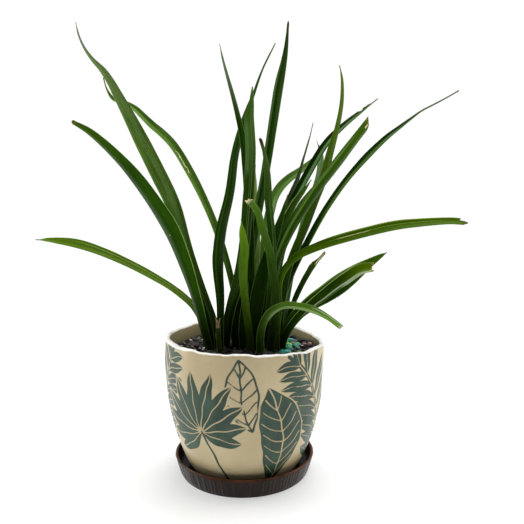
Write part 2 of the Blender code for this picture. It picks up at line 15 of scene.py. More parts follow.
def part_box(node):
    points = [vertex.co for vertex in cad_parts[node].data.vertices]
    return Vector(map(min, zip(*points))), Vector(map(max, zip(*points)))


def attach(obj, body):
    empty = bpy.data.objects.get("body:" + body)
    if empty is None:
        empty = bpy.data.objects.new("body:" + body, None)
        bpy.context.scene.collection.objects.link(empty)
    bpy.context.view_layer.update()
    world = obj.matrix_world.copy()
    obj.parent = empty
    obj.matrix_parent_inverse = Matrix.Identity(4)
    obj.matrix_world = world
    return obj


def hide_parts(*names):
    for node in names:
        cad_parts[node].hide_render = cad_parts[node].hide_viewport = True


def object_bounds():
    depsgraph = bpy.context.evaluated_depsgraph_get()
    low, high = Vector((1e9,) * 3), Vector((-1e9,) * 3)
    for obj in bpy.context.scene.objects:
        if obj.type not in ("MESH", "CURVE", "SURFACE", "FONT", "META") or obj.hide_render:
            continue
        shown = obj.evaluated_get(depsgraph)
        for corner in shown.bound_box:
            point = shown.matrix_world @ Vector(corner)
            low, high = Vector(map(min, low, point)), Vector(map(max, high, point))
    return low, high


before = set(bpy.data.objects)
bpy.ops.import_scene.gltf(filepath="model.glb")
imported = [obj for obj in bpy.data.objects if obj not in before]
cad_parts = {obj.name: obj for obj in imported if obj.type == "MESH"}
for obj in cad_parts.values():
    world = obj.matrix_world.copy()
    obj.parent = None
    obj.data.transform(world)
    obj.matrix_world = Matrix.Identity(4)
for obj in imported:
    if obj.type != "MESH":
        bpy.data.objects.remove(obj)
CAD_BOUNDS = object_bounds()

MM = 0.001
FULL_TURN = 2.0 * math.pi
BODY = "root"
FAR = 99.0
SEAM_GAP = 1e-6
CORNER_GAP = 1e-5
RING_CORNERS = 6
LOG = logging.getLogger("potted_snake_plant")

Colour = tuple[float, float, float]
Place = tuple[float, float, float]
Point = tuple[float, float]
Span = tuple[float, float]


def srgb(red: int, green: int, blue: int) -> Colour:
    """Turns a screen colour into the linear colour that a shader takes.

    Args:
        red: Red from 0 to 255.
        green: Green from 0 to 255.
        blue: Blue from 0 to 255.

    Returns:
        The linear colour.
    """
    shares = (channel / 255.0 for channel in (red, green, blue))
    return tuple(s / 12.92 if s <= 0.04045 else ((s + 0.055) / 1.055) ** 2.4 for s in shares)


class Tone:
    """A shader socket that can be written in ordinary arithmetic."""

    def __init__(self, shader: "NodeBoard", socket: bpy.types.NodeSocket) -> None:
        """Wraps an output socket of a shader."""
        self.shader = shader
        self.socket = socket

    def maths(self, operation: str, *values: "Tone | float", clamp: bool = False) -> "Tone":
        """Adds a Math node.

        Args:
            operation: The Math node's operation.
            values: Its inputs in order.
            clamp: Whether the result is kept from 0 to 1.

        Returns:
            The node's value.
        """
        settings = {"operation": operation, "use_clamp": clamp}
        made = self.shader.node("ShaderNodeMath", settings, dict(enumerate(values)))
        return Tone(self.shader, made.outputs[0])

    def __add__(self, other: "Tone | float") -> "Tone":
        """Self plus other."""
        return self.maths("ADD", self, other)

    def __sub__(self, other: "Tone | float") -> "Tone":
        """Self minus other."""
        return self.maths("SUBTRACT", self, other)

    def __rsub__(self, other: float) -> "Tone":
        """Other minus self."""
        return self.maths("SUBTRACT", other, self)

    def __mul__(self, other: "Tone | float") -> "Tone":
        """Self times other."""
        return self.maths("MULTIPLY", self, other)

    def __abs__(self) -> "Tone":
        """Size of self without its sign."""
        return self.maths("ABSOLUTE", self)

    def clamped(self) -> "Tone":
        """Self kept from 0 to 1."""
        return self.maths("ADD", self, 0.0, clamp=True)

    def most(self, other: "Tone | float") -> "Tone":
        """The larger of self and other."""
        return self.maths("MAXIMUM", self, other)

    def least(self, other: "Tone | float") -> "Tone":
        """The smaller of self and other."""
        return self.maths("MINIMUM", self, other)

    def within(self, low: float, high: float, soft: float) -> "Tone":
        """1 between two values and 0 outside them, with soft ends."""
        return self.rise(low - soft, low) * (1.0 - self.rise(high, high + soft))

    def rise(self, low: float, high: float) -> "Tone":
        """A smooth rise from 0 at low to 1 at high, or a fall where low is above high.

        Args:
            low: Value where the result is 0.
            high: Value where the result is 1.

        Returns:
            The eased share.
        """
        settings = {"interpolation_type": "SMOOTHSTEP"}
        ends = {1: min(low, high), 2: max(low, high)}
        ends.update({3: 0.0, 4: 1.0} if low < high else {3: 1.0, 4: 0.0})
        made = self.shader.node("ShaderNodeMapRange", settings, {0: self, **ends})
        return Tone(self.shader, made.outputs[0])

    __radd__ = __add__
    __rmul__ = __mul__


class NodeBoard:
    """A node tree under construction."""

    def __init__(self, tree: bpy.types.NodeTree) -> None:
        """Starts on a tree."""
        self.tree = tree

    def node(self, kind: str, settings: dict | None = None, inputs: dict | None = None) -> bpy.types.Node:
        """Adds a node.

        Args:
            kind: The node's type.
            settings: Properties that are set first.
            inputs: Values or links by socket name or place.

        Returns:
            The new node.
        """
        made = self.tree.nodes.new(kind)
        for key, value in (settings or {}).items():
            setattr(made, key, value)
        for key, value in (inputs or {}).items():
            self.feed(made.inputs[key], value)
        return made

    def feed(self, socket: bpy.types.NodeSocket, value: "Tone | float | Colour") -> None:
        """Links or sets an input socket.

        Args:
            socket: The input.
            value: What it takes.
        """
        if isinstance(value, Tone):
            self.tree.links.new(value.socket, socket)
        elif socket.type == "RGBA":
            socket.default_value = (*value, 1.0)
        else:
            socket.default_value = value

    def split(self, vector: Tone) -> tuple[Tone, Tone, Tone]:
        """The three numbers of a vector."""
        parts = self.node("ShaderNodeSeparateXYZ", None, {0: vector})
        return tuple(Tone(self, output) for output in parts.outputs)


class Shader(NodeBoard):
    """A material under construction round its Principled shader."""

    def __init__(self, name: str) -> None:
        """Starts a material.

        Args:
            name: The material's name.
        """
        self.material = bpy.data.materials.new(name)
        self.material.use_nodes = True
        super().__init__(self.material.node_tree)
        self.surface = self.tree.nodes["Principled BSDF"]

    def uv(self, name: str) -> tuple[Tone, Tone]:
        """The two coordinates of a UV map.

        Args:
            name: The map's name.

        Returns:
            The first and the second coordinate.
        """
        made = self.node("ShaderNodeUVMap", {"uv_map": name})
        across, along, _ = self.split(Tone(self, made.outputs[0]))
        return across, along

    def attribute(self, name: str) -> Tone:
        """The number that an attribute of the mesh holds."""
        made = self.node("ShaderNodeAttribute", {"attribute_name": name})
        return Tone(self, made.outputs["Fac"])

    def position(self, stretch: Place = (1.0, 1.0, 1.0)) -> Tone:
        """Object coordinates, stretched along the axes.

        Args:
            stretch: How many times each axis is counted.

        Returns:
            The coordinates.
        """
        place = self.node("ShaderNodeTexCoord")
        mapped = self.node("ShaderNodeMapping", None, {0: Tone(self, place.outputs["Object"]), 3: stretch})
        return Tone(self, mapped.outputs[0])

    def combine(self, x: "Tone | float", y: "Tone | float", z: "Tone | float") -> Tone:
        """A vector from three numbers."""
        made = self.node("ShaderNodeCombineXYZ", None, {0: x, 1: y, 2: z})
        return Tone(self, made.outputs[0])

    def cloud(self, where: Tone, scale: float, detail: float = 3.0, rough: float = 0.55) -> Tone:
        """Noise from 0 to 1 at a place.

        Args:
            where: The coordinates.
            scale: How many bumps there are to a unit.
            detail: How many finer layers are added.
            rough: How strong the finer layers are.

        Returns:
            The noise.
        """
        inputs = {"Vector": where, "Scale": scale, "Detail": detail, "Roughness": rough}
        made = self.node("ShaderNodeTexNoise", {"noise_dimensions": "3D"}, inputs)
        return Tone(self, made.outputs[0])

    def scatter(self, where: Tone, scale: float) -> Tone:
        """How far a place is from the nearest of many scattered points."""
        made = self.node("ShaderNodeTexVoronoi", None, {"Vector": where, "Scale": scale})
        return Tone(self, made.outputs["Distance"])

    def mix(self, share: "Tone | float", first: "Tone | Colour", second: "Tone | Colour") -> Tone:
        """A colour between two, by a share.

        Args:
            share: 0 gives the first colour, 1 the second.
            first: The first colour.
            second: The second colour.

        Returns:
            The mixed colour.
        """
        settings = {"data_type": "RGBA", "clamp_factor": True}
        made = self.node("ShaderNodeMix", settings, {0: share, 6: first, 7: second})
        return Tone(self, made.outputs[2])

    def bump(self, height: Tone, strength: float, depth: float) -> None:
        """Feeds the shader's normal from a height.

        Args:
            height: The height, from 0 to 1.
            strength: How strongly it shows.
            depth: How deep 1 is, in metres.
        """
        made = self.node("ShaderNodeBump", None, {"Strength": strength, "Distance": depth, "Height": height})
        self.feed(self.surface.inputs["Normal"], Tone(self, made.outputs[0]))

    def finish(self, **values: "Tone | float | Colour") -> bpy.types.Material:
        """Sets the shader's sockets, named with underscores for spaces.

        Args:
            values: What goes into each socket.

        Returns:
            The finished material.
        """
        for key, value in values.items():
            self.feed(self.surface.inputs[key.replace("_", " ")], value)
        return self.material


def deselect() -> None:
    """Leaves edit mode and deselects every object, so that an operator acts on the new one only."""
    if bpy.context.mode != "OBJECT":
        bpy.ops.object.mode_set(mode="OBJECT")
    bpy.ops.object.select_all(action="DESELECT")


def pick(obj: bpy.types.Object) -> None:
    """Makes an object the only one that is selected, and the active one.

    Args:
        obj: The object.
    """
    deselect()
    bpy.context.view_layer.objects.active = obj
    obj.select_set(True)


def edit_all(obj: bpy.types.Object) -> None:
    """Opens an object in edit mode with everything selected.

    Args:
        obj: The object.
    """
    pick(obj)
    bpy.ops.object.mode_set(mode="EDIT")
    bpy.ops.mesh.select_all(action="SELECT")


def apply_all(obj: bpy.types.Object) -> None:
    """Applies every modifier of an object in order.

    Args:
        obj: The object.
    """
    pick(obj)
    for modifier in list(obj.modifiers):
        bpy.ops.object.modifier_apply(modifier=modifier.name)


def points_of(obj: bpy.types.Object) -> np.ndarray:
    """Reads the places of an object's vertices.

    Args:
        obj: The object.

    Returns:
        Rows of x, y and z in metres.
    """
    flat = np.empty(len(obj.data.vertices) * 3)
    obj.data.vertices.foreach_get("co", flat)
    return flat.reshape(-1, 3)


def set_points(obj: bpy.types.Object, points: np.ndarray) -> None:
    """Moves an object's vertices, and keeps them inside the plain model's box.

    Args:
        obj: The object.
        points: Rows of x, y and z in metres.
    """
    low, high = (np.array(corner) for corner in CAD_BOUNDS)
    inside = np.clip(points, low, high)
    obj.data.vertices.foreach_set("co", inside.ravel())
    obj.data.update()


def set_attribute(obj: bpy.types.Object, name: str, values: np.ndarray) -> None:
    """Stores one number for each vertex under a name."""
    obj.data.attributes.new(name, "FLOAT", "POINT").data.foreach_set("value", values.astype(np.float32))


def smooth(obj: bpy.types.Object, degrees: float) -> None:
    """Shades an object smooth but for edges sharper than an angle.

    Args:
        obj: The object.
        degrees: The angle.
    """
    pick(obj)
    bpy.ops.object.shade_smooth_by_angle(angle=math.radians(degrees))


def dress(obj: bpy.types.Object, material: bpy.types.Material, slot: str, *nodes: str) -> None:
    """Gives a finished piece its material and its body, and hides the nodes that it stands for.

    Args:
        obj: The piece.
        material: Its finish.
        slot: The record's material slot; not used.
        nodes: Names of the nodes that it replaces.
    """
    obj.data.materials.clear()
    obj.data.materials.append(material)
    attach(obj, BODY)
    if nodes:
        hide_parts(*nodes)
    LOG.info("%s: %d faces", obj.name, len(obj.data.polygons))


def eased(values: np.ndarray, low: float, high: float) -> np.ndarray:
    """A smooth rise of numbers.

    Args:
        values: The numbers.
        low: Where the result is 0.
        high: Where the result is 1.

    Returns:
        The eased shares.
    """
    share = np.clip((values - low) / (high - low), 0.0, 1.0)
    return share * share * (3.0 - 2.0 * share)


def spun(name: str, profile: list[Point], steps: int) -> bpy.types.Object:
    """A closed ring made by spinning a closed outline round the Z axis.

    Args:
        name: The new object's name.
        profile: (radius, height) points in millimetres, in order round the outline.
        steps: How many columns the ring has.

    Returns:
        The object, its faces pointing outwards.
    """
    deselect()
    bpy.ops.mesh.primitive_circle_add(vertices=len(profile), radius=1.0, location=(0, 0, 0))
    obj = bpy.context.object
    obj.name = name
    outline = np.array([(radius, 0.0, height) for radius, height in profile])
    set_points(obj, outline * MM)
    edit_all(obj)
    bpy.ops.mesh.spin(steps=steps, angle=FULL_TURN, center=(0, 0, 0), axis=(0, 0, 1))
    bpy.ops.mesh.select_all(action="SELECT")
    bpy.ops.mesh.remove_doubles(threshold=SEAM_GAP)
    bpy.ops.mesh.normals_make_consistent(inside=False)
    bpy.ops.object.mode_set(mode="OBJECT")
    return obj


def arc(centre: Point, radius: float, start: float, end: float, count: int) -> list[Point]:
    """Points on an arc of an outline.

    Args:
        centre: (radius, height) of the arc's middle.
        radius: Its own radius.
        start: First angle in degrees from +X.
        end: Last angle.
        count: How many points.

    Returns:
        The (radius, height) points.
    """
    angles = np.radians(np.linspace(start, end, count))
    return [(centre[0] + radius * math.cos(a), centre[1] + radius * math.sin(a)) for a in angles]


@dataclass(frozen=True)
class Wave:
    """One wave of a ripple: how high it is, how often it comes and how late it starts."""

    high: float
    often: float
    late: float

    def at(self, where: np.ndarray, shift: float = 1.0) -> np.ndarray:
        """Its height at places.

        Args:
            where: The places.
            shift: How many times its late start is counted.

        Returns:
            The heights.
        """
        return self.high * np.sin(where * self.often + self.late * shift)


@dataclass(frozen=True)
class Mark:
    """A line, a painted sheen or highlight, or a scar along a leaf.

    It runs from one share of the leaf's length to another, at a place across and with a half width. Its
    strength is how much of its colour shows, and its jag is how far it zigzags.
    """

    start: float
    end: float
    across: float
    width: float
    colour: Colour
    strength: float = 0.7
    jag: float = 0.0

    def shown(self, along: Tone, place: Tone) -> Tone:
        """How much of the mark there is at a place.

        Args:
            along: Place along the leaf, from 0 to 1.
            place: Place across it, from -1 to 1.

        Returns:
            The share, with soft ends and sides.
        """
        soft = (self.end - self.start) * 0.2
        run = along.within(self.start + soft, self.end - soft, soft)
        return run * place.within(self.across - self.width, self.across + self.width, self.width * 0.8)


class LeafShader(Shader):
    """A leaf's material under construction: places on the leaf and the noises that its colours share."""

    def __init__(self, name: str, seed: float) -> None:
        """Starts a material on a leaf's own UV map, which runs across it and along it.

        Args:
            name: The material's name.
            seed: Shifts the noises, so that no two leaves match.
        """
        super().__init__(name)
        across, self.along = self.uv("leaf")
        self.side = across * 2.0 - 1.0
        strand = self.combine(across * 9.0 + seed, self.along * 1.1, seed)
        self.streak = self.cloud(strand, 2.4, 2.0, 0.5).rise(0.28, 0.74)
        self.fine = self.cloud(self.combine(across * 26.0, self.along * 3.0, seed), 1.0, 1.0)
        spread = self.combine(across * 1.5, self.along * 7.0, seed)
        self.patch = self.cloud(spread, 1.6, 3.0).rise(0.3, 0.7)
        self.jolt = self.cloud(self.combine(across, self.along * 70.0, seed), 1.3, 3.0) - 0.5


@dataclass(frozen=True)
class LeafSkin:
    """Finish of a leaf: streaked satin green, marks, painted shade and highlights, and, where it has one, a
    dry tip.
    """

    dark: Colour
    light: Colour
    tip: Colour
    slot: str
    tip_from: float = 0.6
    # Root colour and how far up it reaches: painted shade that darkens each blade towards its root, where the
    # clump crowds it.
    root: Colour = srgb(9, 20, 3)
    root_shade_to: float = 0.4
    # A pale line along both margins, partly the leaf's own edge and partly painted highlight.
    margin: Colour = srgb(104, 138, 72)
    dry: Colour = srgb(88, 64, 40)
    dry_pale: Colour = srgb(150, 120, 80)
    dry_from: float = 2.0
    # Painted light and shade: how much lighter (+) or darker (-) the left and right flanks are painted, as
    # the fold turns them towards or away from the light.
    flank_shade: Span = (0.0, 0.0)
    streaks: float = 0.4
    # How much paler the fold's ridge is painted: partly the pale midrib and partly painted highlight.
    keel: float = 0.15
    roughness: float = 0.4
    gloss: float = 0.1
    glint: Colour = srgb(190, 250, 92)
    marks: tuple[Mark, ...] = ()

    def material(self, name: str, seed: float) -> bpy.types.Material:
        """Builds the finish.

        Args:
            name: The material's name.
            seed: Makes it differ from the other leaves' finishes.

        Returns:
            The material.
        """
        shader = LeafShader(name, seed)
        streak, fine = shader.streak, shader.fine
        green = self.marked(shader, self.ended(shader, self.blade(shader)))
        ragged = shader.along + (fine - 0.5) * 0.02 + (streak - 0.5) * 0.02
        withered = ragged.rise(self.dry_from - 0.012, self.dry_from + 0.006)
        brown = shader.mix(streak * 0.6 + fine * 0.4, self.dry, self.dry_pale)
        shader.bump(streak * 0.5 + fine * 0.5, 0.2, 0.0004)
        return shader.finish(
            Base_Color=shader.mix(withered, green, brown),
            Roughness=(withered * 0.4 + streak * 0.1 + self.roughness).clamped(),
            Specular_IOR_Level=self.gloss,
            Specular_Tint=self.glint,
        )

    def blade(self, shader: LeafShader) -> Tone:
        """Mixes the green of a blade: streaks and patches, its two flanks painted lighter or darker as
        painted light and shade, and a paler keel that is partly painted highlight.

        Args:
            shader: The material under construction.

        Returns:
            The colour.
        """
        side = shader.side
        # Painted light and shade on the two flanks.
        left, right = (side.rise(0.0, -0.55) * self.flank_shade[0], side.rise(0.0, 0.55) * self.flank_shade[1])
        tone = (shader.streak - 0.5) * self.streaks + (shader.patch - 0.5) * 0.35
        tone = tone + (shader.fine - 0.5) * 0.45 + 0.42
        green = shader.mix((tone + left + right).clamped(), self.dark, self.light)
        # A paler keel, partly painted highlight.
        return shader.mix((1.0 - abs(side).rise(0.0, 0.14)) * self.keel, green, self.light)

    def ended(self, shader: LeafShader, green: Tone) -> Tone:
        """Lays the colours of the tip, the painted shade at the root and the pale margins, partly painted
        highlight, over a blade's green.

        Args:
            shader: The material under construction.
            green: The blade's colour.

        Returns:
            The colour.
        """
        tipped = shader.along.rise(self.tip_from, 1.0) * (shader.streak * 0.3 + 0.6)
        green = shader.mix(tipped, green, self.tip)
        # Painted shade: darker towards the root.
        green = shader.mix((1.0 - shader.along.rise(0.05, self.root_shade_to)) * 0.75, green, self.root)
        # Pale margins, partly painted highlight.
        return shader.mix(abs(shader.side).rise(0.9, 0.99) * (shader.fine * 0.6 + 0.2), green, self.margin)

    def marked(self, shader: LeafShader, green: Tone) -> Tone:
        """Lays the marks over a blade's colour.

        Args:
            shader: The material under construction.
            green: The blade's colour.

        Returns:
            The colour.
        """
        wander = shader.side + (shader.streak - 0.5) * 0.08
        for mark in self.marks:
            place = wander + shader.jolt * mark.jag if mark.jag else wander
            share = mark.shown(shader.along, place) * (shader.fine * 0.5 + 0.6) * mark.strength
            green = shader.mix(share, green, mark.colour)
        return green


DARK = LeafSkin(srgb(12, 38, 2), srgb(44, 82, 10), srgb(72, 104, 26), "dark_leaf")
MID = LeafSkin(srgb(28, 62, 3), srgb(84, 126, 26), srgb(98, 138, 34), "mid_leaf")
LIGHT = LeafSkin(srgb(70, 108, 12), srgb(132, 172, 46), srgb(130, 170, 46), "light_leaf")
GREY = LeafSkin(srgb(70, 104, 56), srgb(142, 174, 120), srgb(134, 162, 110), "grey_leaf")
# Leaves deep in the clump: darker greens and a dark root reaching further up, painted shade.
SHADED_INNER = replace(DARK, dark=srgb(10, 34, 2), light=srgb(34, 68, 8), tip=srgb(44, 80, 14), root_shade_to=0.8)


class Side(Enum):
    """Which margin of a leaf a tear is on, as the leaf's run is seen from the front."""

    LEFT = -1
    RIGHT = 1


@dataclass(frozen=True)
class Tear:
    """A strip missing from a leaf's margin, between two shares of its length."""

    side: Side
    start: float
    end: float
    depth: float
    ragged: float = 0.0


@dataclass(frozen=True)
class LeafLook:
    """What makes one leaf differ from its neighbours.

    Its end is given as shares of its length that are missing at places across. Its point is the share over
    which it narrows, and blunt is the least half width of its end in millimetres. Its curl is how much its
    end folds in, and wave is how high its small waves are in millimetres.
    """

    name: str
    skin: LeafSkin
    end: tuple[Point, ...] = ((-1.0, 0.0), (1.0, 0.0))
    tears: tuple[Tear, ...] = ()
    point: float = 0.0
    blunt: float = 0.0
    curl: float = 0.0
    wave: float = 0.3

    def missing(self, across: np.ndarray) -> np.ndarray:
        """Share of the length that is missing at places across the leaf."""
        return np.interp(across, *zip(*self.end))

    def torn(self, share: np.ndarray, side: Side) -> np.ndarray:
        """How far the blade reaches towards one margin after its tears.

        Args:
            share: Places along the leaf.
            side: The margin.

        Returns:
            The reach, 1 being the full half width.
        """
        reach = np.ones_like(share)
        for tear in (tear for tear in self.tears if tear.side is side):
            inside = (share > tear.start) & (share <= tear.end)
            rough = np.array([noise.noise(Vector((s * 90.0, 7.0, 3.0))) for s in share])
            reach = np.where(inside, reach * (1.0 - tear.depth * (1.0 + tear.ragged * rough)), reach)
        return reach


# Pale line along a margin: a painted highlight.
EDGE_HIGHLIGHT = srgb(132, 172, 88)

